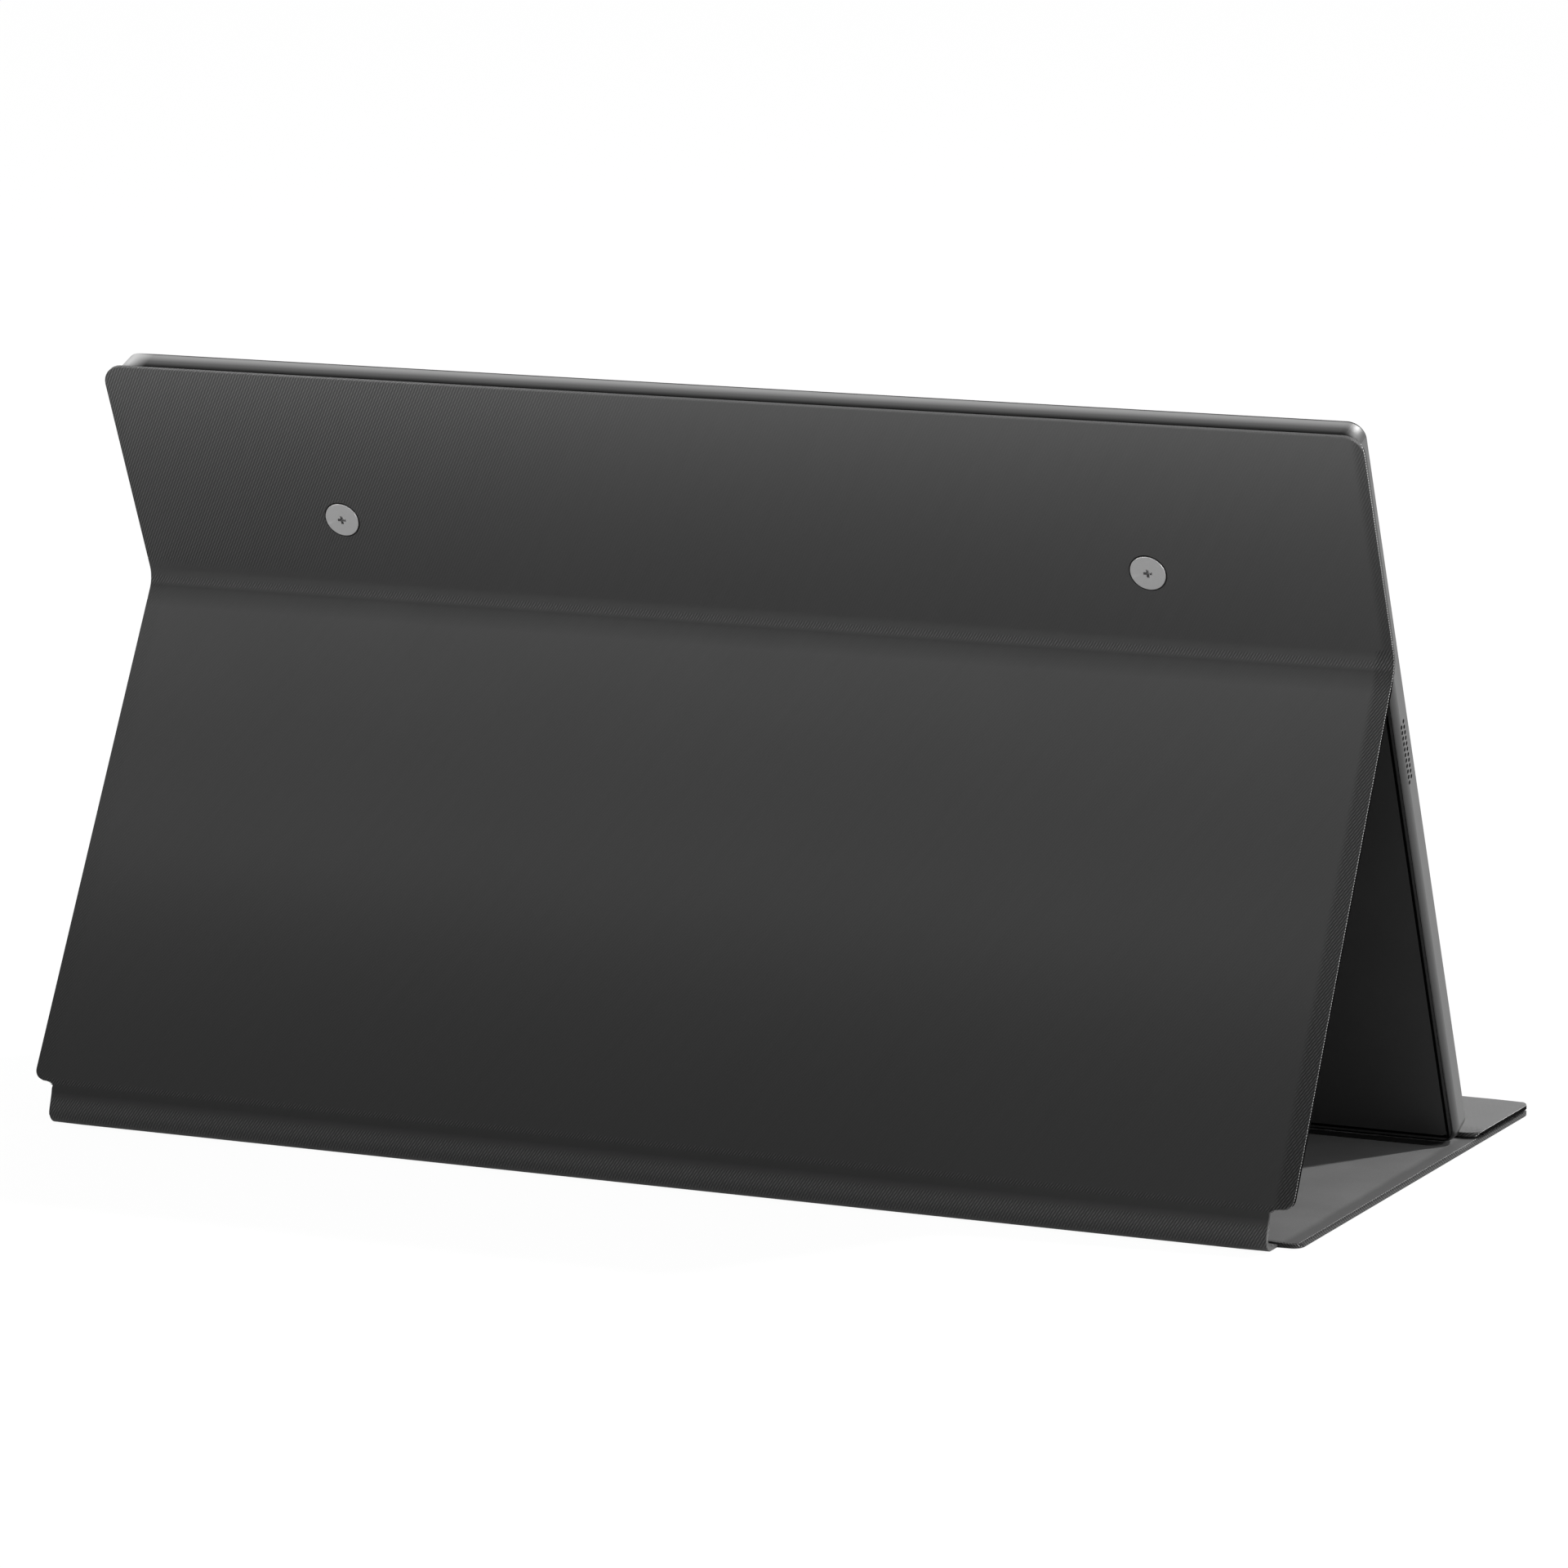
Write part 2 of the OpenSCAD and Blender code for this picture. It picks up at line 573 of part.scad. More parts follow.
// soft valley between the two back panels
module crease_hinge() color("#3f3f3f") {
    apex = band_t / cos((lean + prop_lean) / 2);
    turn = (prop_lean - lean) / 2;
    translate([-cover_w / 2, crease_y, crease_z]) rotate([90, 0, 90]) linear_extrude(cover_w)
        polygon([[0, 0],
            [crease_band * sin(lean), crease_band * cos(lean)],
            [crease_band * sin(lean) - band_t * cos(lean), crease_band * cos(lean) + band_t * sin(lean)],
            [-apex * cos(turn), -apex * sin(turn)],
            [crease_band * sin(prop_lean) - band_t * cos(prop_lean),
             -crease_band * cos(prop_lean) - band_t * sin(prop_lean)],
            [crease_band * sin(prop_lean), -crease_band * cos(prop_lean)]]);
}

module prop_twill() color("#3c3c3c") in_prop()
    twill_tray(-prop_len + heel_gap, -crease_band, panel_r, fold_r);
module prop_core() color("#6b5f4c") in_prop()
    core(-prop_len + heel_gap, -crease_band, panel_r, fold_r);
module prop_liner() color("#3a3a3b") in_prop()
    lining(-prop_len + heel_gap, -crease_band, panel_r, fold_r);

spine_w = cover_w - 2 * spine_inset;
module across(w) {
    translate([-w / 2, 0, 0]) rotate([90, 0, 90]) linear_extrude(w) children();
}

// soft band between the prop's lower edge and the spine
module prop_hinge() color("#3a3a3a") across(spine_w) {
    heel = [heel_y, spine_h];
    top = heel + heel_gap * [-sin(prop_lean), cos(prop_lean)];
    end = heel + lower_band * [sin(spine_lean), -cos(spine_lean)];
    turn = (prop_lean - spine_lean) / 2;
    polygon([heel, top, top - band_t * [cos(prop_lean), sin(prop_lean)],
        heel - band_t / cos(turn) * [cos(spine_lean + turn), sin(spine_lean + turn)],
        end - band_t * [cos(spine_lean), sin(spine_lean)], end]);
}

// the spine: a short leaning strip, and a bend that turns it under onto the floor
spine_end = spine_y - spine_bend_r - spine_foot;
woven_t = cover_t - liner_t;
module strip_section(from, to) {
    translate([heel_y, spine_h]) rotate(spine_lean)
        translate([-to, -strip_len]) square([to - from, strip_len - lower_band]);
}
function on_bend(r, i) = let (a = spine_lean - (90 + spine_lean) * i / 8)
    [spine_y - spine_bend_r + r * cos(a), spine_bend_r + r * sin(a)];
module turned_section(from, to) {
    polygon(concat(
        [for (i = [0 : 8]) on_bend(spine_bend_r - from, i)], [[spine_end, from], [spine_end, to]],
        [for (i = [8 : -1 : 0]) on_bend(spine_bend_r - to, i)]));
}
module spine_twill() color("#3a3a3a") across(spine_w) strip_section(0, woven_t);
module spine_bend() color("#3a3a3a") across(spine_w) turned_section(0, woven_t);
module spine_liner() color("#4a4a4b") across(spine_w) {
    strip_section(woven_t, cover_t);
    turned_section(woven_t, cover_t);
}

// the cover's round front corners, seen from above
module front_cut() {
    intersection() {
        children();
        slab(-1, flap_top + 2) outline(cover_w, front_y, spine_y, front_r, fold_r);
    }
}

module base_hinge() color("#3a3a3a") across(spine_w)
    translate([spine_end - lower_band, 0.3]) square([lower_band, band_t]);

// base, with the grip strip let into its lining
base_rear = spine_end - lower_band;
base_front = fold_y + 1;
grip_y = foot_low_y - 4;
grip_d = 9;
module base_twill() color("#3c3c3c") front_cut() twill_tray(base_front, base_rear, fold_r, panel_r);
module base_board() color("#6b5f4c") core(base_front, base_rear, fold_r, panel_r);
module grip_area(grow) {
    outline(2 * (side_x - 4 + grow), grip_y - grow, grip_y + grip_d + grow, 4, 4);
}
module base_liner() color("#6a6a6a") difference() {
    lining(base_front, base_rear, fold_r, panel_r);
    slab(cover_t - 1, 2) grip_area(fit);
}
module grip_strip() color("#0e0e0e") slab(cover_t - liner_t, liner_t + grip_t) grip_area(0);

// the front fold and the flap lying back on the base
module fold_hinge() color("#4a4a4a") front_cut() across(cover_w) {
    r = fold_z;
    polygon(concat(
        [[base_front, 0]], [for (i = [0 : 12]) [fold_y - r * sin(15 * i), fold_z - r * cos(15 * i)]],
        [[base_front, flap_top], [base_front, flap_top - band_t]],
        [for (i = [12 : -1 : 0]) [fold_y - (r - band_t) * sin(15 * i), fold_z - (r - band_t) * cos(15 * i)]],
        [[base_front, band_t]]));
}
module flap_twill() color("#6f6e6c") front_cut() in_flap() twill_tray(base_front, flap_rear, fold_r, 4.5);
module flap_board() color("#6b5f4c") in_flap() core(base_front, flap_rear, fold_r, 4.5);
module flap_liner() color("#6a6a6a") in_flap() lining(base_front, flap_rear, fold_r, 4.5);

housing_rim();
back_plate();
front_glass();
display_cell();
diffuser_films();
light_guide();
led_bar();
chassis_sheet();
driver_board();
driver_flex();
main_board();
board_chips();
chip_shield();
screen_cable();
usb_port_low();
usb_port_high();
video_port();
headphone_jack();
speaker_left();
speaker_right();
speaker_wires();
button_board();
power_button();
menu_rocker();
screw_inserts();
plate_posts();
board_posts();
board_screws();
cover_screw_left();
cover_screw_right();
upper_twill();
upper_board();
upper_liner();
crease_hinge();
prop_twill();
prop_core();
prop_liner();
prop_hinge();
spine_twill();
spine_bend();
spine_liner();
base_hinge();
base_twill();
base_board();
base_liner();
grip_strip();
fold_hinge();
flap_twill();
flap_board();
flap_liner();
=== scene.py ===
# %% [markdown]
# # A portable monitor standing in its folding cover
# A thin screen is screwed to a cloth cover of four stiff panels and a low spine. The cover
# folds at soft bands: a crease high on the back, a heel near the floor, a bend where the
# spine turns under, and a fold at the front where the last panel doubles back. The rigid
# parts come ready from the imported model, and this notebook makes the cloth, the small
# fittings, every finish, the light and the camera.
#
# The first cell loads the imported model. Its nodes stay where they are, so everything that
# is made here takes its place from them.

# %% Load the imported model
import json
import math

import bmesh
import bpy
from mathutils import Matrix, Vector

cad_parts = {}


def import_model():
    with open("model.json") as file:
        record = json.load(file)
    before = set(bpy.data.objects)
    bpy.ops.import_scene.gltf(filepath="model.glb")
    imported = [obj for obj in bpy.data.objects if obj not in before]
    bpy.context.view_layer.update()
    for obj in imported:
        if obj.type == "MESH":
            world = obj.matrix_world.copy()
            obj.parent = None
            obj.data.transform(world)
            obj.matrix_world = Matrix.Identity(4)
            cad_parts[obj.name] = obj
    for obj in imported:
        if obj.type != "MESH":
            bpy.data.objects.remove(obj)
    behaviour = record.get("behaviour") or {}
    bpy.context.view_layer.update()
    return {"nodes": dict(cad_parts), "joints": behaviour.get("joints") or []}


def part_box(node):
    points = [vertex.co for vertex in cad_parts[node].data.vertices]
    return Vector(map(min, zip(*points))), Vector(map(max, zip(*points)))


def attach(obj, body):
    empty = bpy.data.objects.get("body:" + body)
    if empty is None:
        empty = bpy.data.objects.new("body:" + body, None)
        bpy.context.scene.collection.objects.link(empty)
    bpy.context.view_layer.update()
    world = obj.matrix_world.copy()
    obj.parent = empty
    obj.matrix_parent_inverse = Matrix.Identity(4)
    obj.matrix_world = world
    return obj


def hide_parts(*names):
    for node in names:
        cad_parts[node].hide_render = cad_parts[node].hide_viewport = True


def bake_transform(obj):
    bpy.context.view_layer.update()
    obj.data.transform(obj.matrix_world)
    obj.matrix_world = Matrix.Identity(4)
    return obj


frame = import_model()
nodes = frame["nodes"]
joints = {joint["name"]: joint for joint in frame["joints"]}
MM = 0.001

# %% [markdown]
# ## The side view of the stand
# Seen from the side the cover is one line: down the upper panel, round the crease, down the
# prop, round the heel, under along the base, and round the front fold into the flap. The
# joints lie on that line, so their places and the slope of the menu rocker's axis give
# its angles without measuring anything by hand.

# %% Sizes of the side view
crease = Vector(joints["crease_fold"]["pos_m"])
heel = Vector(joints["prop_fold"]["pos_m"])
front = Vector(joints["flap_fold"]["pos_m"])
lean = math.asin(joints["menu_tilt"]["axis"][2])
prop_lean = math.atan2(heel.y - crease.y, crease.z - heel.z)

panel_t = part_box("base_twill")[1].z
cloth_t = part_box("base_board")[0].z
cover_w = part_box("prop_twill")[1].x * 2
spine_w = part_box("spine_twill")[1].x * 2
upper_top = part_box("upper_twill")[1].z
upper_len = (upper_top - crease.z - panel_t * math.sin(lean)) / math.cos(lean)
prop_len = math.hypot(heel.y - crease.y, crease.z - heel.z)
spine_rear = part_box("spine_bend")[1].y
flap_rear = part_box("flap_twill")[1].y
base_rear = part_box("base_twill")[1].y
print(f"lean {math.degrees(lean):.1f}, prop {math.degrees(prop_lean):.1f} degrees,",
      f"upper {upper_len / MM:.1f} mm, prop {prop_len / MM:.1f} mm")

# %% [markdown]
# ## The camera
# The camera comes early, because the rest is judged through it. It stands behind the
# monitor, to one side and a little above, with a long lens, so the far corner stays
# nearly as large as the near one.

# %% Camera
camera_data = bpy.data.cameras.new("camera")
camera_data.lens = 168.7
camera_data.sensor_width = 36
camera = bpy.data.objects.new("camera", camera_data)
camera.location = (-0.8153, 1.7422, 0.4292)
camera.rotation_euler = (math.radians(80.02), 0, math.radians(205.07))
bpy.context.scene.collection.objects.link(camera)
bpy.context.scene.camera = camera
print("camera", round((camera.location - crease).length, 2), "m from the crease")

# %% [markdown]
# ## Helpers for modelling
# Each new piece is shaped in edit mode with the same operators as by hand. An operator acts
# on what is selected, so a helper first deselects everything, and another selects the
# points, edges or faces that pass a test on their middle and their direction. A direction
# lies along an axis when its part along that axis is more than MOSTLY.

# %% Selecting and cutting
TINY = 0.00001
MOSTLY = 0.9


def alone(piece):
    if bpy.context.object and bpy.context.object.mode == "EDIT":
        bpy.ops.object.mode_set(mode="OBJECT")
    bpy.ops.object.select_all(action="DESELECT")
    bpy.context.view_layer.objects.active = piece
    piece.select_set(True)


def edit(piece):
    alone(piece)
    bpy.ops.object.mode_set(mode="EDIT")


def done(piece):
    bpy.ops.object.mode_set(mode="OBJECT")
    piece.data.update()
    return piece


def pick(piece, kind, wanted):
    """Selects what passes wanted(middle, direction): a face's direction is its normal."""
    mesh = bmesh.from_edit_mesh(piece.data)
    kinds = {"VERT": mesh.verts, "EDGE": mesh.edges, "FACE": mesh.faces}
    bpy.context.tool_settings.mesh_select_mode = [name == kind for name in kinds]
    bpy.ops.mesh.select_all(action="DESELECT")
    count = 0
    for part in kinds[kind]:
        if kind == "VERT":
            middle, direction = part.co, part.normal
        elif kind == "EDGE":
            a, b = (v.co for v in part.verts)
            middle, direction = (a + b) / 2, (b - a).normalized()
        else:
            middle, direction = part.calc_center_median(), part.normal
        chosen = wanted(middle, direction)
        part.select_set(chosen)
        count += chosen
    mesh.select_flush_mode()
    bmesh.update_edit_mesh(piece.data)
    return count


def cut(place, normal):
    """Cuts all of the piece in edit mode along a plane."""
    bpy.ops.mesh.select_all(action="SELECT")
    bpy.ops.mesh.bisect(plane_co=place, plane_no=normal)


print("selecting by place and direction is ready")

# %% Starting and finishing a piece
def smooth(piece, degrees=35):
    """Smooth shading that keeps large flat faces flat."""
    alone(piece)
    bpy.ops.object.shade_smooth_by_angle(angle=math.radians(degrees))
    keep = piece.modifiers.new("weights", "WEIGHTED_NORMAL")
    keep.keep_sharp = True
    bpy.ops.object.modifier_apply(modifier=keep.name)


def block(name, low, high):
    """A cube primitive between two corners, ready to be shaped."""
    low, high = Vector(low), Vector(high)
    if bpy.context.object and bpy.context.object.mode == "EDIT":
        bpy.ops.object.mode_set(mode="OBJECT")
    bpy.ops.object.select_all(action="DESELECT")
    bpy.ops.mesh.primitive_cube_add(size=1, location=(low + high) / 2, scale=high - low)
    piece = bpy.context.object
    piece.name = piece.data.name = name
    bpy.ops.object.transform_apply(location=True, rotation=True, scale=True)
    return piece


def settle(piece, matrix):
    """Puts a piece that was made flat into its place, and applies the place to its mesh."""
    piece.matrix_world = matrix
    alone(piece)
    bpy.ops.object.transform_apply(location=True, rotation=True, scale=True)
    return piece


print("starting and finishing is ready")

# %% [markdown]
# ## Folding a flat cover
# A real cover is glued up flat and folded afterwards. The pieces here are made the same way:
# each panel is modelled flat, x across and y down the cloth, its outer face up, and then one
# function lays every point on the side view. The line is a list of straight runs and round
# turns. A thread that crosses a fold stays one line, because its place on the flat cloth is
# kept as a UV map in metres. The Curve or Simple Deform modifiers could bend a strip too,
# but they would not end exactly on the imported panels.

# %% The line of the cover
crease_r = 7 * MM
heel_r = 6 * MM
bend_r = 3.4 * MM
front_r = front.z
to_centre = Vector((spine_rear - bend_r - heel.y, bend_r - heel.z))
spine_lean = (math.atan2(to_centre.x, -to_centre.y)
              + math.asin(bend_r / to_centre.length))
spine_run = math.sqrt(to_centre.length ** 2 - bend_r ** 2)
crease_turn = lean + prop_lean
heel_turn = prop_lean - spine_lean
bend_turn = math.pi / 2 + spine_lean
crease_cut = crease_r * math.tan(crease_turn / 2)
heel_cut = heel_r * math.tan(heel_turn / 2)
foot_run = spine_rear - bend_r - front.y
flap_run = flap_rear - front.y

STEPS = [
    ("upper", upper_len - crease_cut, 0),
    ("crease", crease_r * crease_turn, crease_turn),
    ("prop", prop_len - crease_cut - heel_cut, 0),
    ("heel", heel_r * heel_turn, -heel_turn),
    ("spine", spine_run - heel_cut, 0),
    ("bend", bend_r * bend_turn, -bend_turn),
    ("base", foot_run, 0),
    ("fold", front_r * math.pi, -math.pi),
    ("flap", flap_run, 0),
]
print("the flat cloth is", round(sum(length for _, length, _ in STEPS) / MM, 1), "mm long")

# %% Walking down the line
def turned(direction, angle):
    c, s = math.cos(angle), math.sin(angle)
    return Vector((direction.x * c - direction.y * s, direction.x * s + direction.y * c))


def walk():
    """Where each step starts on the flat cloth and in the side view, and its heading."""
    point = Vector((crease.y, crease.z))
    heading = Vector((-math.sin(lean), -math.cos(lean)))
    point -= heading * upper_len
    line, along = {}, 0
    for name, length, turn in STEPS:
        line[name] = (along, point.copy(), heading.copy(), length, turn)
        inwards = Vector((heading.y, -heading.x))
        if turn:
            side = inwards if turn < 0 else -inwards
            centre = point + side * length / abs(turn)
            point = centre + turned(point - centre, turn)
            heading = turned(heading, turn)
        else:
            point += heading * length
        along += length
    return line


LINE = walk()
START = {name: LINE[name][0] for name in LINE}
print("spine leans", round(math.degrees(spine_lean), 1), "degrees; the steps start at",
      {name: round(start / MM, 1) for name, start in START.items()})

# %% The fold
SPREAD = "cloth"


def laid(point):
    """The place in space of a point of the flat cloth: x, distance down, minus depth."""
    name = [n for n in LINE if START[n] <= point.y + TINY][-1]
    along, start, heading, length, turn = LINE[name]
    gone = point.y - along
    inwards = Vector((heading.y, -heading.x))
    depth = -point.z
    if turn:
        side = inwards if turn < 0 else -inwards
        radius = length / abs(turn)
        centre = start + side * radius
        angle = gone / length * turn
        place = centre + turned(start - centre, angle)
        inwards = turned(inwards, angle)
    else:
        place = start + heading * gone
    place = place + inwards * depth
    return Vector((point.x, place.x, place.y))


def spread(piece):
    """Writes each corner's place on the flat cloth to a UV map, in metres."""
    layer = piece.data.uv_layers.get(SPREAD) or piece.data.uv_layers.new(name=SPREAD)
    for loop in piece.data.loops:
        co = piece.data.vertices[loop.vertex_index].co
        wrap = math.copysign(-co.z, co.x)
        layer.data[loop.index].uv = (co.x + wrap, co.y)
    for other in [old for old in piece.data.uv_layers if old.name != SPREAD]:
        piece.data.uv_layers.remove(other)


def fold(piece):
    spread(piece)
    for vertex in piece.data.vertices:
        vertex.co = laid(vertex.co)
    piece.data.update()
    smooth(piece)
    return piece


print("the crease's middle lies at", laid(Vector((0, START["crease"] + LINE["crease"][3] / 2, 0))))

# %% [markdown]
# ## The woven skin of a panel
# Each panel is a tray of cloth round a board, and the cloth is pressed thin for about 9 mm
# along its free edges, where the board ends. A flat sheet with a Solidify modifier would be
# quicker, but it leaves no room for the board. So a cube is given round corners by bevelling
# its upright edges. Its free outer edges get a small round, its under side is inset and
# pushed in for the board, and cuts along the free edges give the points that are then
# pressed down.

# %% Sizes of the cloth
hem = 1.2 * MM
press_w = 9 * MM
press_out = 0.08 * MM
press_t = 0.3 * MM
edge_r = 0.2 * MM
band_t = 0.9 * MM
board_air = 0.05 * MM

crease_band = 6 * MM
heel_gap = 1 * MM
lower_band = 2.5 * MM
upper_end = upper_len - crease_band
prop_from = START["prop"] + crease_band - crease_cut
prop_to = START["heel"] + heel_cut - heel_gap
base_from = START["base"] + spine_rear - bend_r - base_rear
base_to = START["fold"] - MM
flap_from = START["flap"] + MM
flap_to = START["flap"] + flap_run

top_r = 5.6 * MM
flap_r = 4.5 * MM
low_r = 3 * MM
fold_r = 0.3 * MM
print("upper", round(upper_end / MM, 1), "prop", round((prop_to - prop_from) / MM, 1),
      "base", round((base_to - base_from) / MM, 1), "flap", round((flap_to - flap_from) / MM, 1))

# %% Pressing the borders
def border_cuts(top, bottom, width, free_top, free_bottom, deep):
    """Cuts the piece inside its free borders, and gives the test for points in the borders."""
    edge = width / 2 - deep
    for side in (-1, 1):
        cut((side * edge, 0, 0), (1, 0, 0))
    if free_top:
        cut((0, top + deep, 0), (0, 1, 0))
    if free_bottom:
        cut((0, bottom - deep, 0), (0, 1, 0))

    def in_border(point):
        return (abs(point.x) > edge + TINY
                or (free_top and point.y < top + deep - TINY)
                or (free_bottom and point.y > bottom - deep + TINY))
    return in_border


def press(piece, top, bottom, width, free_top, free_bottom, thick=None):
    """Presses the free borders thin. A piece with no thickness given keeps its under side."""
    in_border = border_cuts(top, bottom, width, free_top, free_bottom, press_w)
    pick(piece, "VERT", lambda p, d: in_border(p) and p.z > -edge_r * 1.5)
    bpy.ops.transform.translate(value=(0, 0, -press_out))
    if thick:
        pick(piece, "VERT", lambda p, d: in_border(p) and p.z < -thick + TINY)
        bpy.ops.transform.translate(value=(0, 0, press_t))


print("a pressed border is", round(press_w / MM, 1), "mm wide")

# %% Panels
def round_corners(piece, end, width, radius):
    pick(piece, "EDGE", lambda p, d: abs(d.z) > MOSTLY and abs(p.y - end) < TINY
         and abs(abs(p.x) - width / 2) < TINY)
    bpy.ops.mesh.bevel(offset=radius, segments=8 if radius > MM else 2, affect="EDGES")


def soften(piece, top, bottom, free_top, free_bottom):
    """Rounds the free outer edges."""
    def free(p, d):
        if p.z < -TINY or abs(d.z) > 0.1:
            return False
        if abs(p.y - top) < TINY and abs(d.x) > MOSTLY:
            return free_top
        if abs(p.y - bottom) < TINY and abs(d.x) > MOSTLY:
            return free_bottom
        return True
    pick(piece, "EDGE", free)
    bpy.ops.mesh.bevel(offset=edge_r, segments=3, affect="EDGES")


def panel_skin(name, top, bottom, radius_top, radius_bottom, free_top, free_bottom):
    skin = block(name, (-cover_w / 2, top, -panel_t), (cover_w / 2, bottom, 0))
    edit(skin)
    for end, radius in ((top, radius_top), (bottom, radius_bottom)):
        round_corners(skin, end, cover_w, radius)
    soften(skin, top, bottom, free_top, free_bottom)
    pick(skin, "FACE", lambda p, d: d.z < -MOSTLY)
    bpy.ops.mesh.inset(thickness=hem)
    bpy.ops.mesh.extrude_region_move(
        TRANSFORM_OT_translate={"value": (0, 0, panel_t - cloth_t - board_air)})
    press(skin, top, bottom, cover_w, free_top, free_bottom, panel_t)
    return done(skin)


PANELS = {
    "upper": (0, upper_end, top_r, fold_r, True, False),
    "prop": (prop_from, prop_to, fold_r, low_r, False, False),
    "base": (base_from, base_to, low_r, fold_r, False, False),
    "flap": (flap_from, flap_to, fold_r, flap_r, False, True),
}
skins = {name: panel_skin(name + "_skin", *sizes) for name, sizes in PANELS.items()}
upper_skin, prop_skin, base_skin, flap_skin = skins.values()
print("panel skins:", [len(skin.data.polygons) for skin in skins.values()])

# %% [markdown]
# ## Holes for the two screws
# The screws go through the upper panel. Their holes are cut with a Boolean modifier while
# the panel is still flat, where a hole is a plain cylinder, and the rims are rounded.

# %% Screw holes
screw_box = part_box("cover_screw_right")
screw_x = (screw_box[0].x + screw_box[1].x) / 2
screw_up = 22.3 * MM
screw_y = upper_len - screw_up
hole_r = 5.2 * MM
hole_edge = 0.12 * MM
cutter_len = 4 * MM


def on_hole(point):
    away = math.hypot(abs(point.x) - screw_x, point.y - screw_y)
    return abs(away - hole_r) < hole_edge


for side in (-1, 1):
    bpy.ops.object.select_all(action="DESELECT")
    bpy.ops.mesh.primitive_cylinder_add(vertices=64, radius=hole_r, depth=cutter_len,
                                        location=(side * screw_x, screw_y, 0))
    cutter = bpy.context.object
    hole = upper_skin.modifiers.new("hole", "BOOLEAN")
    hole.object = cutter
    alone(upper_skin)
    bpy.ops.object.modifier_apply(modifier=hole.name)
    bpy.data.objects.remove(cutter)
edit(upper_skin)
pick(upper_skin, "EDGE", lambda p, d: p.z > -TINY and on_hole(p))
bpy.ops.mesh.bevel(offset=hole_edge, segments=2, affect="EDGES")
done(upper_skin)
print("upper skin with holes:", len(upper_skin.data.polygons), "faces")

# %% [markdown]
# ## The soft bands at the folds
# Between two panels there is no board, only cloth and lining, and the band bends. One sheet
# for the whole cover would be simpler, but only the bands may bend when a joint moves, so
# each is a piece of its own. It is a thin block cut into rows, close together where it turns
# round, and its sides are pressed like the panels', so the borders run on. The heel's band
# flares out from the narrow spine to the prop, and the cover has round corners at its front
# fold.

# %% Bands
def band(name, top, bottom, width, turns, thick=band_t):
    """turns: the names of the round steps inside, each with how many rows it gets."""
    strip = block(name, (-width / 2, top, -thick), (width / 2, bottom, 0))
    edit(strip)
    soften(strip, top, bottom, False, False)
    for step, rows in turns:
        for i in range(rows + 1):
            row_at = START[step] + LINE[step][3] * i / rows
            if top + TINY < row_at < bottom - TINY:
                cut((0, row_at, 0), (0, 1, 0))
    press(strip, top, bottom, width, False, False)
    return done(strip)


spine_from = START["heel"] + heel_cut + lower_band
spine_to = base_from - lower_band
crease_strip = band("crease_band", upper_end, prop_from, cover_w, [("crease", 12)])
heel_strip = band("heel_band", prop_to, spine_from, spine_w, [("heel", 6)])
spine_skin = band("spine_skin", spine_from, spine_to, spine_w, [("bend", 12)], panel_t)
sole_strip = band("sole_band", spine_to, base_from, spine_w, [])
fold_strip = band("fold_band", base_to, flap_from, cover_w, [("fold", 20)])
bands = [crease_strip, heel_strip, spine_skin, sole_strip, fold_strip]
print("bands:", {strip.name: len(strip.data.polygons) for strip in bands})

# %% The flare at the heel and the corners at the front fold
flare = 2.8 * MM
flare_in = 2 * MM
FLARE_ROWS = (0, 0.1, 0.22, 0.36, 0.54, 0.75)
edit(heel_strip)
rows = [prop_to + flare * part for part in FLARE_ROWS]
for row_at in rows[1:]:
    cut((0, row_at, 0), (0, 1, 0))
for row_at in rows:
    grow = flare - math.sqrt(flare ** 2 - (prop_to + flare - row_at) ** 2)
    for side in (-1, 1):
        pick(heel_strip, "VERT", lambda p, d: abs(p.y - row_at) < TINY
             and side * p.x > spine_w / 2 - flare_in)
        bpy.ops.transform.translate(value=(side * grow, 0, 0))
done(heel_strip)

corner_r = 5.6 * MM
CORNER_ROWS = (0.6 * MM, 1.2 * MM, 1.8 * MM, 2.4 * MM, 3.2 * MM)
for skin, start, way in ((base_skin, base_to, -1), (flap_skin, flap_from, 1)):
    edit(skin)
    for gap in CORNER_ROWS:
        cut((0, start + way * gap, 0), (0, 1, 0))
    done(skin)


def round_front(piece):
    """Draws the border in at the front fold, so that the cover has round corners there."""
    inner = cover_w / 2 - press_w
    for vertex in piece.data.vertices:
        reach = corner_r - (vertex.co.y - (front.y - front_r))
        if reach > 0 and abs(vertex.co.x) > inner:
            edge = cover_w / 2 - corner_r + math.sqrt(max(corner_r ** 2 - reach ** 2, 0))
            part = (abs(vertex.co.x) - inner) / (cover_w / 2 - inner)
            vertex.co.x = math.copysign(inner + part * (edge - inner), vertex.co.x)


cloth_pieces = [*skins.values(), *bands]
for piece in cloth_pieces:
    fold(piece)
for piece in (base_skin, fold_strip, flap_skin):
    round_front(piece)
print("folded", len(cloth_pieces), "pieces of cloth")

# %% [markdown]
# ## The lining
# The inner side of each panel is lined with a soft grey cloth that lies flush in the tray
# and is pressed down with it along the borders. A second material on the skin's own faces
# could pass for it, but a sheet of its own shows its edge. It is a thin block with the same
# cuts, so it is made by the same functions.

# %% Linings
lining_t = panel_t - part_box("base_board")[1].z
corner_less = 0.8 * MM
least_r = 0.1 * MM


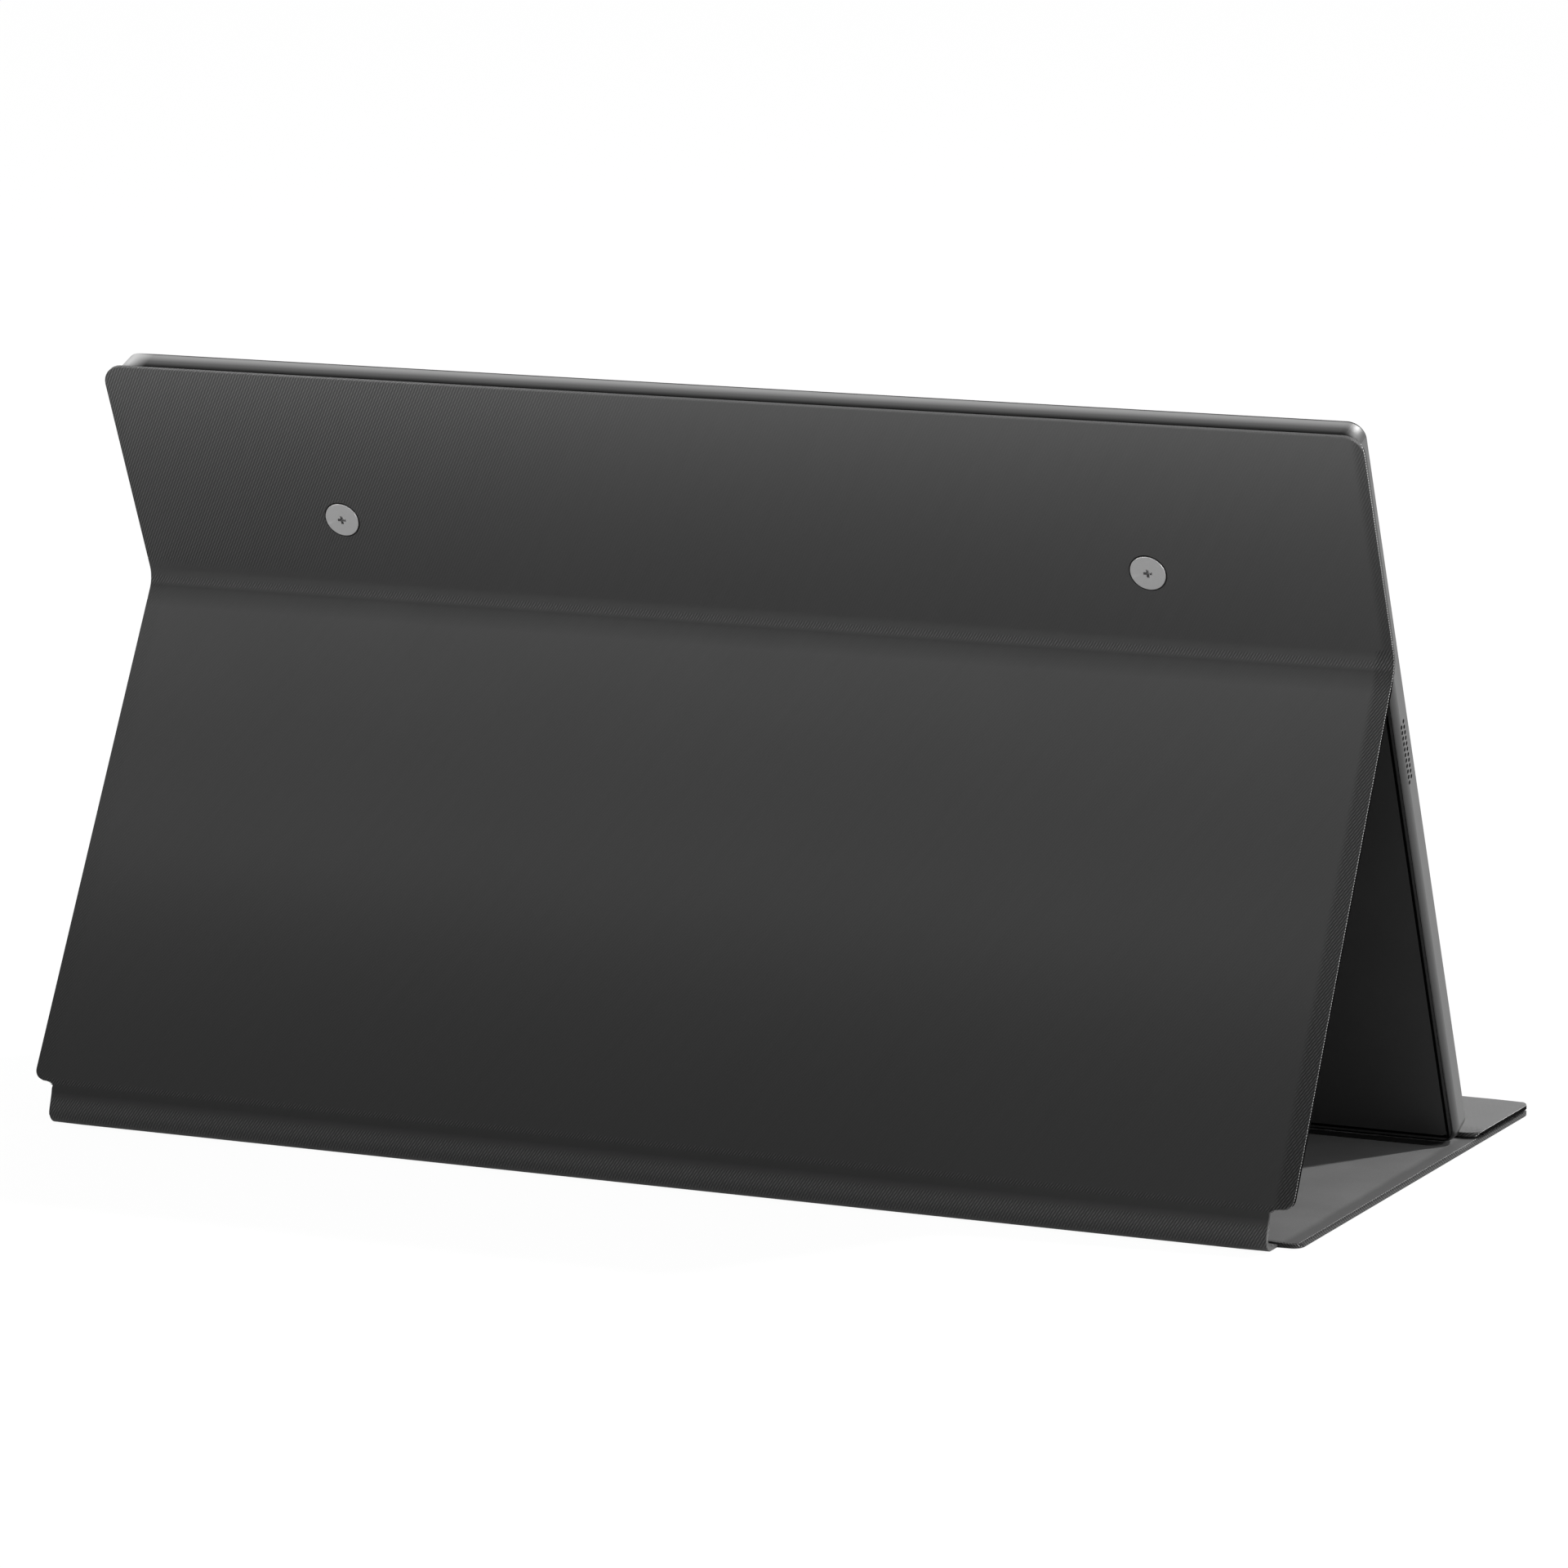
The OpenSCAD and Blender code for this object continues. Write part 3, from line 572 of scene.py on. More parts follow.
def lining(name, top, bottom, radius_top, radius_bottom, free_top, free_bottom):
    width = cover_w - 2 * hem
    top, bottom = top + hem, bottom - hem
    sheet = block(name, (-width / 2, top, -lining_t), (width / 2, bottom, 0))
    edit(sheet)
    for end, radius in ((top, radius_top), (bottom, radius_bottom)):
        round_corners(sheet, end, width, max(radius - corner_less, least_r))
    in_border = border_cuts(top, bottom, width, free_top, free_bottom, press_w - hem)
    pick(sheet, "VERT", lambda p, d: in_border(p))
    bpy.ops.transform.translate(value=(0, 0, press_t))
    pick(sheet, "VERT", lambda p, d: True)
    bpy.ops.transform.translate(value=(0, 0, lining_t - panel_t))
    done(sheet)
    return fold(sheet)


linings = {name: lining(name + "_lining", *sizes) for name, sizes in PANELS.items()}
print("linings:", [len(sheet.data.polygons) for sheet in linings.values()])

# %% [markdown]
# ## The cover screws
# Each screw is one turned disc with a small cross for the driver, and a thin gap is left
# round it in its hole. A cylinder primitive gets a chamfer by bevelling its rim, and the
# shank is extruded from the back. A bump could draw the cross, but it would stay flat when
# looked at from the side, so two thin blocks cut it, one after the other.

# %% Sizes and place of the screws
disc_r = 4.9 * MM
disc_proud = 0.2 * MM
disc_chamfer = 0.22 * MM
shank_r = 2 * MM
shank_len = 4.2 * MM
cross_w = 2.4 * MM
cross_arm = 0.75 * MM
cross_deep = 1.2 * MM


def in_upper(x, up):
    """The place on the upper panel, its y up the panel and its z out of it."""
    turn = Matrix.Rotation(math.radians(90) - lean, 4, "X") @ Matrix.Rotation(math.pi, 4, "Y")
    origin = Matrix.Translation(crease)
    return origin @ turn @ Matrix.Translation((-x, up, 0))


print("the right screw sits at", in_upper(screw_x, screw_up).translation)

# %% Making the screws
def cover_screw(name, x):
    bpy.ops.object.select_all(action="DESELECT")
    deep = panel_t - lining_t
    bpy.ops.mesh.primitive_cylinder_add(vertices=96, radius=disc_r, depth=deep + disc_proud,
                                        location=(0, 0, (disc_proud - deep) / 2))
    screw = bpy.context.object
    screw.name = screw.data.name = name
    bpy.ops.object.transform_apply(location=True, rotation=True, scale=True)
    edit(screw)
    pick(screw, "FACE", lambda p, d: d.z < -MOSTLY)
    bpy.ops.mesh.inset(thickness=disc_r - shank_r)
    bpy.ops.mesh.extrude_region_move(TRANSFORM_OT_translate={"value": (0, 0, -shank_len)})
    pick(screw, "EDGE", lambda p, d: p.z > disc_proud - TINY)
    bpy.ops.mesh.bevel(offset=disc_chamfer, segments=3, affect="EDGES")
    done(screw)
    arms = [block("arm", (-a / 2, -b / 2, disc_proud - cross_deep), (a / 2, b / 2, MM))
            for a, b in ((cross_w, cross_arm), (cross_arm, cross_w))]
    for arm in arms:
        recess = screw.modifiers.new("recess", "BOOLEAN")
        recess.object = arm
        alone(screw)
        bpy.ops.object.modifier_apply(modifier=recess.name)
        bpy.data.objects.remove(arm)
    settle(screw, in_upper(x, screw_up))
    smooth(screw)
    return screw


screws = [cover_screw("screw_disc_right", screw_x), cover_screw("screw_disc_left", -screw_x)]
print("screws:", [len(screw.data.polygons) for screw in screws])

# %% [markdown]
# ## The grip strip
# The monitor's foot stands on a rubber strip let into the base, and fine ribs along it stop
# the foot from sliding. Nine thin ribs could be set on a plate, but one closed piece has no
# hidden faces: a block with round ends is cut lengthways, and every other strip of its top
# is pressed down.

# %% Grip strip
low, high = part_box("grip_strip")
grip_strip = block("grip_ribs", low, high)
ribs = 9
grip_end_r = 4 * MM
rib_deep = 0.1 * MM
step = (high.y - low.y) / (2 * ribs)
edit(grip_strip)
pick(grip_strip, "EDGE", lambda p, d: abs(d.z) > MOSTLY)
bpy.ops.mesh.bevel(offset=grip_end_r, segments=8, affect="EDGES")
for i in range(1, 2 * ribs):
    cut((0, low.y + step * i, 0), (0, 1, 0))
pick(grip_strip, "FACE", lambda p, d: d.z > MOSTLY and int((p.y - low.y) / step) % 2 == 1)
bpy.ops.transform.translate(value=(0, 0, -rib_deep))
done(grip_strip)
smooth(grip_strip, 20)
print("grip strip:", len(grip_strip.data.polygons), "faces")

# %% [markdown]
# ## Contacts in the sockets
# The tongues of the two reversible sockets carry rows of gold contacts. An Array modifier
# makes one row, and there are two, back to back. So one strip is modelled, with its end
# bevelled, and copied along both sides of a tongue. The copies are joined, so the contacts
# of a socket are one piece.

# %% Contacts
contact_n = 12
contact_pitch = 0.5 * MM
contact_long = 3 * MM
contact_wide = 0.3 * MM
contact_thin = 0.04 * MM
contact_bevel = 0.015 * MM
tongue_half = 0.35 * MM
contact_shift = 0.4 * MM


def contact_row(name, node):
    """Strips on both sides of a socket's tongue, joined into one piece."""
    low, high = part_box(node)
    middle = (low + high) / 2
    turn = in_upper(0, 0).to_3x3().to_4x4()
    corner = Vector((contact_long, contact_wide, contact_thin)) / 2
    strip = block(name, -corner, corner)
    edit(strip)
    pick(strip, "EDGE", lambda p, d: abs(d.y) > MOSTLY and p.x < 0)
    bpy.ops.mesh.bevel(offset=contact_bevel, segments=2, affect="EDGES")
    done(strip)
    copies = []
    for side in (-1, 1):
        for i in range(contact_n):
            copy = strip.copy()
            copy.data = strip.data.copy()
            bpy.context.scene.collection.objects.link(copy)
            copy.location = (0, (i - (contact_n - 1) / 2) * contact_pitch, side * tongue_half)
            copies.append(copy)
    bpy.data.objects.remove(strip)
    alone(copies[0])
    for copy in copies:
        copy.select_set(True)
    bpy.ops.object.join()
    row = bpy.context.object
    row.name = row.data.name = name
    alone(row)
    bpy.ops.object.transform_apply(location=True, rotation=True, scale=True)
    settle(row, Matrix.Translation(middle + Vector((contact_shift, 0, 0))) @ turn)
    return row


contacts = [contact_row("usb_contacts_low", "usb_port_low"),
            contact_row("usb_contacts_high", "usb_port_high")]
print("contact rows:", [len(row.data.polygons) for row in contacts])

# %% [markdown]
# ## Patterns that several finishes share
# A pattern that more than one finish uses is a shader node group, built once. It puts out
# heights, masks and tones, and the shader itself stays in each material. A number in a node
# tree is wrapped so that arithmetic on it adds Math nodes: a mask then reads as a formula,
# and its nodes are the ones that would be placed by hand.

# %% Numbers in a node tree
def arithmetic(operation, swapped=False):
    """A method that adds one Math node."""
    def method(self, other=0.0):
        values = (other, self) if swapped else (self, other)
        return self.step(operation, values)
    return method


class Value:
    """A number in a node tree."""

    def __init__(self, tree, socket):
        self.tree = tree
        self.socket = socket

    def step(self, operation, values):
        node = self.tree.nodes.new("ShaderNodeMath")
        node.operation = operation
        for socket, value in zip(node.inputs, values):
            wire(self.tree, socket, value)
        return Value(self.tree, node.outputs[0])

    def capped(self):
        """Keeps it between 0 and 1, in the node that made it."""
        self.socket.node.use_clamp = True
        return self

    __add__ = __radd__ = arithmetic("ADD")
    __mul__ = __rmul__ = arithmetic("MULTIPLY")
    __sub__ = arithmetic("SUBTRACT")
    __rsub__ = arithmetic("SUBTRACT", swapped=True)
    __truediv__ = arithmetic("DIVIDE")
    larger = arithmetic("MAXIMUM")
    smaller = arithmetic("MINIMUM")
    above = arithmetic("GREATER_THAN")
    size = arithmetic("ABSOLUTE")
    cosine = arithmetic("COSINE")
    sine = arithmetic("SINE")


print("arithmetic on a", Value.__name__, "adds Math nodes")

# %% Soft steps and waves
def after(value, start, soft):
    """0 before a length and 1 past it, with an even slope of a given width."""
    return ((value - start) / soft).capped()


def before(value, end, soft):
    return ((end - value) / soft).capped()


def between(value, low, high, soft):
    return after(value, low, soft) * before(value, high, soft)


def wave(value):
    """A round wave from 0 to 1 that is 1 at every whole number."""
    return (value * (2 * math.pi)).cosine() * 0.5 + 0.5


print("steps and waves are ready")

# %% Adding and joining nodes
def wire(tree, socket, value):
    """Joins an input to a value or an output, or sets it to a number, vector or colour."""
    if isinstance(value, Value):
        value = value.socket
    if isinstance(value, bpy.types.NodeSocket):
        tree.links.new(value, socket)
    elif socket.type == "RGBA":
        socket.default_value = (*value, 1)
    else:
        socket.default_value = value


def feed(tree, node, **inputs):
    for label, value in inputs.items():
        wire(tree, node.inputs[label.replace("_", " ")], value)
    return node


def add(tree, kind, *values, settings=None, **inputs):
    """A node with its settings, its first inputs in order, and others by name."""
    node = tree.nodes.new("ShaderNode" + kind)
    for key, value in (settings or {}).items():
        setattr(node, key, value)
    for socket, value in zip(node.inputs, values):
        wire(tree, socket, value)
    return feed(tree, node, **inputs)


def axes(tree, vector):
    return [Value(tree, part) for part in add(tree, "SeparateXYZ", vector).outputs]


def reach(tree, vector, direction):
    """How far a place or a normal reaches in a direction."""
    node = add(tree, "VectorMath", vector, direction, settings={"operation": "DOT_PRODUCT"})
    return Value(tree, node.outputs["Value"])


def scaled(tree, colour, gain):
    node = add(tree, "VectorMath", colour, settings={"operation": "SCALE"}, Scale=gain)
    return node.outputs[0]


def mixed(tree, factor, first, second):
    """A colour between two others."""
    mix = add(tree, "Mix", settings={"data_type": "RGBA"}, Factor=factor)
    wire(tree, mix.inputs[6], first)
    wire(tree, mix.inputs[7], second)
    return mix.outputs[2]


print("node helpers are ready")

# %% Noise and node groups
def noise(tree, where, scale, detail, roughness):
    node = add(tree, "TexNoise", Vector=where, Scale=scale, Detail=detail, Roughness=roughness)
    return Value(tree, node.outputs[0])


def group(name, inputs, results):
    """A node group that starts from a vector: its tree, its inputs by name, its last node."""
    tree = bpy.data.node_groups.new(name, "ShaderNodeTree")
    tree.interface.new_socket("Vector", in_out="INPUT", socket_type="NodeSocketVector")
    for label, value in inputs.items():
        socket = tree.interface.new_socket(label, in_out="INPUT", socket_type="NodeSocketFloat")
        socket.default_value = value
    for label in results:
        tree.interface.new_socket(label, in_out="OUTPUT", socket_type="NodeSocketFloat")
    given = {out.name: Value(tree, out) for out in tree.nodes.new("NodeGroupInput").outputs}
    return tree, given, tree.nodes.new("NodeGroupOutput")


def use(tree, made_group, where, **inputs):
    """Puts a group into a material and gives its results by name."""
    node = tree.nodes.new("ShaderNodeGroup")
    node.node_tree = made_group
    feed(tree, node, Vector=where, **inputs)
    return {out.name: Value(tree, out) for out in node.outputs}


print("group helpers are ready")

# %% [markdown]
# ## The weave
# The cover is a twill: fine ribs that climb about seven steps for each four across. A Wave
# Texture gives such ribs, but its scale is no length, so the waves here are cosines of a
# length over the pitch. On the flat cloth's UV map, in metres, a rib is a line of equal x
# less a share of y. A wave across it gives the round of a rib, and a second one along it
# gives the dimples where threads cross. Noise that is drawn out along the ribs makes some
# threads lighter.

# %% Twill group
ACROSS_STRETCH = 0.3
ALONG_STRETCH = 0.02
rib_gain = 1.25
dimple_dark = 1.6

twill, given, leave = group(
    "twill_weave",
    {"Pitch": 0.8 * MM, "Slant": 0.58, "Dimples": 0.3},
    ["Height", "Rib", "Tone"])
x, y, _ = axes(twill, given["Vector"])
across = (x - y * given["Slant"]) / given["Pitch"]
down = y / given["Pitch"]
rib = wave(across)
dimple = wave((down - across) * 0.5) * given["Dimples"]
drawn = add(twill, "CombineXYZ", across * ACROSS_STRETCH, down * ALONG_STRETCH).outputs[0]
feed(twill, leave, Height=rib - dimple, Rib=rib * (rib_gain - dimple * dimple_dark),
     Tone=noise(twill, drawn, 1.0, 2.0, 0.6))
print("twill group:", len(twill.nodes), "nodes")

# %% [markdown]
# ### Where the cloth is cut, and where light and shade are painted on it
# A second group tells a point of the flat cloth where it lies. Seen from behind, the ribs catch the
# light along the right border, in short rows at the bends and in a triangle at the upper left, and
# these masks paint that highlight on the ribs. Painted shade darkens the sloping borders, a band
# just below the crease, the side walls in the slots and the lining's side borders, and painted
# light brightens the spine where it bends under. The fabric is cut at its sides, so a thin line of
# painted highlights on the cut thread ends runs there, and past it the map goes on down the panel's
# side wall. Masks painted by hand would need an image, so every mask is made of soft steps between
# lengths on the cloth.

# %% Lengths of the zones
# Rows at the crease, heel and bend where painted highlights bring out the ribs as the cloth turns.
BEND_ROWS = (("crease", 2.6 * MM, 0.3 * MM), ("heel", 2.2 * MM, -0.7 * MM),
             ("bend", 6.5 * MM, -3 * MM))
# Widths of the line of painted highlights on the cut thread ends.
cut_line = 0.17 * MM
upper_cut_line = 0.25 * MM
# Width of the border's painted shade and rib highlights, less on the upper panel.
border_shade_w = 5.4 * MM
upper_border_shade_less = 2 * MM
# Width of the painted shade along the lining's sloping side borders.
hem_w = 4.4 * MM
# A triangle at the upper left with painted highlights on the ribs.
lit_ribs_w = 90 * MM
lit_ribs_slope = 1.3
left_share = 0.15
foot_share = 0.2
corner_w = 9 * MM
# Where painted light brightens the spine as it bends under, as if lit from the floor.
sole_start = START["bend"] - 4.5 * MM
# A band of painted shade just below the crease.
crease_shade_start = START["crease"] + LINE["crease"][3] / 2 + MM
crease_shade_len = 7 * MM
half = cover_w / 2
print("the dip starts", round(crease_shade_start / MM, 1), "mm down, the sole",
      round(sole_start / MM, 1), "mm down")

# %% Zones group
zones, given, leave = group(
    "cloth_zones", {},
    ["Border", "Bend", "Cut", "Hem", "Rubbed", "Wall", "Sole", "Upper", "Dip"])
x, down, _ = axes(zones, given["Vector"])
aside = x.size()
upper_part = before(down, START["crease"], MM)

rows = []
for step, width, later in BEND_ROWS:
    middle = START[step] + LINE[step][3] / 2 + later
    rows.append(between(down, middle - width / 2, middle + width / 2, 0.7 * MM))
thread_ends = between(aside, half, half + cut_line, TINY)
upper_ends = between(aside, half, half + upper_cut_line, TINY) * upper_part
# Side walls that get painted shade: the prop's and the flap's, and a little of the base's.
side_walls = between(down, START["prop"], START["heel"], MM).larger(
    after(down, base_from, MM) * foot_share).larger(after(down, START["fold"], MM))

# The border's painted shade and rib highlights are strongest on the right side.
to_right = before(x, 15 * MM, 50 * MM) * (1 - left_share) + left_share
border = after(aside - upper_part * upper_border_shade_less, half - border_shade_w, 1.6 * MM)
border = border * to_right * before(down, START["fold"], 5 * MM)
# The flap's right rear corner gets the same painted shade and rib highlights.
flap_corner = before(x, -146.67 * MM, 16.67 * MM) * after(down, flap_to - corner_w, 5 * MM)

feed(zones, leave, Upper=upper_part,
     Bend=rows[0].larger(rows[1]).larger(rows[2]),
     Cut=upper_ends.larger(thread_ends),
     Wall=aside.above(half + cut_line) * side_walls,
     Border=border.larger(flap_corner),
     Hem=after(aside, half - hem_w, 2 * MM),
     Rubbed=((x - down * lit_ribs_slope) / lit_ribs_w).capped() * before(down, START["crease"], 3 * MM),
     Sole=between(down, sole_start, base_from, 3 * MM),
     Dip=after(down, crease_shade_start, MM) * before(down, crease_shade_start + crease_shade_len, 6 * MM))
print("zones group:", len(zones.nodes), "nodes")

# %% [markdown]
# ### Grain, dust and wear
# Anodised metal, moulded plastic and lining all have a fine grain, which two layers of noise give:
# one for single grains and one for slow clouds. Dust and handling make the gloss uneven, so a
# second group gives a soft mask from broken noise. A third finds sharp edges from the shape itself
# and breaks them up, for metal that is worn bright there.

# %% Grain, dust and wear groups
grain, given, leave = group("fine_grain", {"Scale": 4000.0, "Clouds": 40.0}, ["Height", "Tone"])
fine = noise(grain, given["Vector"], given["Scale"], 2.0, 0.7)
slow = noise(grain, given["Vector"], given["Clouds"], 3.0, 0.5)
feed(grain, leave, Height=fine, Tone=fine * 0.5 + slow * 0.5)

dust, given, leave = group("dust_film", {"Scale": 30.0, "Amount": 0.5}, ["Mask"])
blots = noise(dust, given["Vector"], given["Scale"], 5.0, 0.65)
feed(dust, leave, Mask=(blots * 2.2 - 0.7).capped() * given["Amount"])

wear, given, leave = group("edge_wear", {"Scale": 600.0, "Amount": 0.6}, ["Mask"])
pointed = Value(wear, wear.nodes.new("ShaderNodeNewGeometry").outputs["Pointiness"])
broken = noise(wear, given["Vector"], given["Scale"], 3.0, 0.6)
feed(wear, leave, Mask=(pointed * 12.0 - 6.3).capped() * broken * given["Amount"])
print("groups:", [g.name for g in bpy.data.node_groups])

# %% [markdown]
# ## Finishes
# A finish starts as a new material with its own Principled shader. Values that are the same
# all over are set on the shader's own sockets, and only what changes over the surface is
# wired in, such as colour, roughness and the bump.

# %% Material helpers
def finish(name, roughness, metallic=0.0, **fixed):
    made = bpy.data.materials.new(name)
    made.use_nodes = True
    tree = made.node_tree
    shader = tree.nodes["Principled BSDF"]
    feed(tree, shader, Roughness=roughness, Metallic=metallic, **fixed)
    return made, tree, shader


def place(tree):
    return tree.nodes.new("ShaderNodeTexCoord").outputs["Object"]


def on_cloth(tree):
    """The place on the flat cloth, in metres."""
    return add(tree, "UVMap", settings={"uv_map": SPREAD}).outputs["UV"]


def dusty(tree, shader, where, scale, amount, low, high):
    """Makes the gloss uneven: the roughness grows from low to high under the dust."""
    film = use(tree, dust, where, Scale=scale, Amount=amount)
    feed(tree, shader, Roughness=film["Mask"] * (high - low) + low)


def bump(tree, shader, height, distance, strength=1.0):
    node = add(tree, "Bump", Height=height, Distance=distance, Strength=strength)
    feed(tree, shader, Normal=node.outputs[0])


def grey(value, warm=0.0):
    """A near-neutral colour from a display grey of 0 to 255, a little warm or cool."""
    linear = ((value / 255 + 0.055) / 1.055) ** 2.4
    return (linear * (1 + warm), linear, linear * (1 - warm))


def grained(name, tones, roughness, sizes, relief, metallic=0.0, **fixed):
    """A finish with fine grain. sizes: of grains and clouds. relief: depth and strength."""
    made, tree, shader = finish(name, roughness, metallic, **fixed)
    skin = use(tree, grain, place(tree), Scale=sizes[0], Clouds=sizes[1])
    feed(tree, shader, Base_Color=mixed(tree, skin["Tone"], *tones))
    bump(tree, shader, skin["Height"], *relief)
    return made, tree, shader


def colour_of(shader):
    return shader.inputs["Base Color"].links[0].from_socket


print("a mid grey is", round(grey(128)[0], 3))

# %% [markdown]
# ### Cloth
# The twill is a dull dark grey whose ribs are a little lighter than the gaps. How clearly they show
# depends on the zone, where painted highlights bring the ribs out, and the zones also paint shade
# and light on the cloth. The lining is a soft, paler cloth with a fine nap, no ribs and painted
# shade along its sloping side borders. The boards inside are grey pressed paper.

# %% The twill's finish
CLOTH_TONES = (grey(32), grey(98))
# Colour of the painted highlights on the cut thread ends.
THREAD_END_HIGHLIGHT = grey(222)
RIBS_SHOW = {"plain": 0.04, "lit_ribs": 0.52, "bend": 0.6, "border": 0.65, "upper_less": 0.42}
# Painted shade: on the sloping borders, in a band below the crease, and on the side walls.
DARKER = {"border": 0.18, "dip": 0.32, "wall": 0.85}
# Painted light on the spine where it bends under.
sole_lighter = 0.9
yarn_mottle = 0.06
thread_pitch = 0.7 * MM


def twill_cloth():
    made, tree, shader = finish("twill_cloth", 0.45, Sheen_Roughness=0.3)
    where = on_cloth(tree)
    weave = use(tree, twill, where)
    zone = use(tree, zones, where)
    # How clearly the ribs show: the plain weave, plus painted highlights on the ribs in the
    # upper-left triangle, at the bends and along the borders.
    clear = zone["Rubbed"] * RIBS_SHOW["lit_ribs"] + RIBS_SHOW["plain"]
    clear = clear + zone["Bend"] * RIBS_SHOW["bend"]
    at_border = RIBS_SHOW["border"] - zone["Upper"] * RIBS_SHOW["upper_less"]
    clear = (clear + zone["Border"] * at_border).capped()
    # Painted shade on the sloping borders and in the band below the crease.
    level = 0.5 - zone["Border"] * DARKER["border"] - zone["Dip"] * DARKER["dip"]
    yarn = (weave["Tone"] - 0.5) * yarn_mottle
    shade = ((weave["Rib"] - 0.5) * clear + yarn + level).capped()
    # Painted light on the spine where it bends under, and painted shade on the side walls.
    gain = zone["Sole"] * sole_lighter + 1.0 - zone["Wall"] * DARKER["wall"]
    body = scaled(tree, mixed(tree, shade, *CLOTH_TONES), gain)
    down = axes(tree, where)[1]
    # Painted highlights on the cut thread ends: light dashes along the side edges.
    dash = ((down * (2 * math.pi / thread_pitch)).sine() * 1.5 + 0.7).capped()
    feed(tree, shader, Base_Color=mixed(tree, dash * zone["Cut"], body, THREAD_END_HIGHLIGHT))
    dusty(tree, shader, where, 25.0, 0.4, 0.52, 0.66)
    bump(tree, shader, weave["Height"] * (clear * 0.8 + 0.08), 0.00018, 0.8)
    # No gloss or sheen on the prop's and flap's side walls, so their painted shade stays black.
    open_air = (2.0 - zone["Wall"] * 2.0).capped()
    feed(tree, shader, Specular_IOR_Level=open_air * 0.4, Sheen_Weight=open_air * 0.35)
    return made


cloth = twill_cloth()
print("twill:", len(cloth.node_tree.nodes), "nodes")

# %% Lining and boards
def lining_cloth():
    made, tree, shader = finish("lining_cloth", 0.85, Specular_IOR_Level=0.25)
    where = place(tree)
    nap = use(tree, grain, where, Scale=2600.0, Clouds=60.0)
    zone = use(tree, zones, on_cloth(tree))
    # Painted shade along the sloping side borders.
    tone = (nap["Tone"] - zone["Hem"] * 0.6).capped()
    feed(tree, shader, Base_Color=mixed(tree, tone, grey(92), grey(128)))
    dusty(tree, shader, where, 18.0, 0.5, 0.78, 0.95)
    bump(tree, shader, nap["Height"], 0.0001, 0.5)
    return made


liner = lining_cloth()
board = grained("grey_board", (grey(95, 0.1), grey(130, 0.1)), 0.9,
                (1500.0, 120.0), (0.00008, 0.6))[0]
print("under the twill:", liner.name, board.name)

# %% [markdown]
# ### Metal
# Screws, keys and sockets are steel or bare metal with a fine grain and bright edges. The rim is
# blasted and anodised aluminium. Its tone is painted light and shade set by where a point lies:
# painted shade towards the back edge, a painted reflection on the top face with a dark line along
# its front, a painted highlight on the far corner, painted shade dimming the key lamp's highlight
# on the rounded corners, and painted shade on the underside.

# %% Metal finishes
def satin_metal(name, dark, light, rough_low, rough_high, scale):
    made, tree, shader = grained(name, (grey(dark), grey(light)), rough_low, (scale, 30.0),
                                 (0.00002, 0.4), 1.0)
    where = place(tree)
    worn = use(tree, wear, where, Scale=500.0, Amount=0.5)
    feed(tree, shader, Base_Color=mixed(tree, worn["Mask"], colour_of(shader), grey(light + 25)))
    dusty(tree, shader, where, 40.0, 0.6, rough_low, rough_high)
    return made


def brassy(name, dark, light):
    return grained(name, (dark, light), 0.3, (6000.0, 300.0), (0.00001, 0.4), 1.0)[0]


disc_metal = satin_metal("screw_steel", 184, 214, 0.3, 0.42, 7000.0)
small_steel = satin_metal("small_steel", 150, 185, 0.25, 0.4, 5000.0)
key_metal = satin_metal("key_metal", 186, 206, 0.25, 0.36, 9000.0)
port_steel = satin_metal("port_steel", 140, 170, 0.3, 0.45, 5000.0)
brass = brassy("brass", (0.42, 0.27, 0.09), (0.6, 0.42, 0.16))
gold = brassy("gold_plate", (0.62, 0.42, 0.12), (0.8, 0.58, 0.2))
print("metals:", disc_metal.name, small_steel.name, key_metal.name, port_steel.name)

# %% Places and tones of the rim
# Painted shade and reflection by depth from the cover: the side darker towards the cover; the top
# face dark near the cover and light towards the front, with a dark line along its front edge.
SIDE_STOPS = ((0, 0.25), (0.3, 0.46), (0.34, 0.63), (1, 0.63))
TOP_STOPS = ((0.1, 0.02), (0.42, 0.3), (0.7, 1), (0.79, 1), (0.83, 0.1), (1, 0.1))
rim_deep = 8.5 * MM
top_band = 2.6 * MM
# A painted highlight on the far top corner, painted shade dimming the key lamp's highlight on the
# rounded corners, and painted shade on the underside.
far_corner = 168 * MM
BEVEL_FACING = (0.15, 0.98)
bevel_darker = 0.38
corner_lighter = 0.9
under_tone = 0.08
up = Vector((0, math.sin(lean), math.cos(lean)))
forwards = Vector((0, -math.cos(lean), math.sin(lean)))
rim_back = crease.dot(forwards) + panel_t + 0.1 * MM
rim_top = max(Vector(v.co).dot(up) for v in nodes["housing_rim"].data.vertices)
print("the rim reaches", round(rim_top / MM, 1), "mm up along the monitor")

# %% The rim's finish
def tone_along(tree, part, stops):
    """A grey that follows a list of places and tones."""
    node = add(tree, "ValToRGB", part)
    spots = node.color_ramp.elements
    for i, (spot, tone) in enumerate(stops):
        if i > 1:
            spots.new(spot)
        spots[i].position = spot
        spots[i].color = (tone, tone, tone, 1)
    return node.outputs[0]


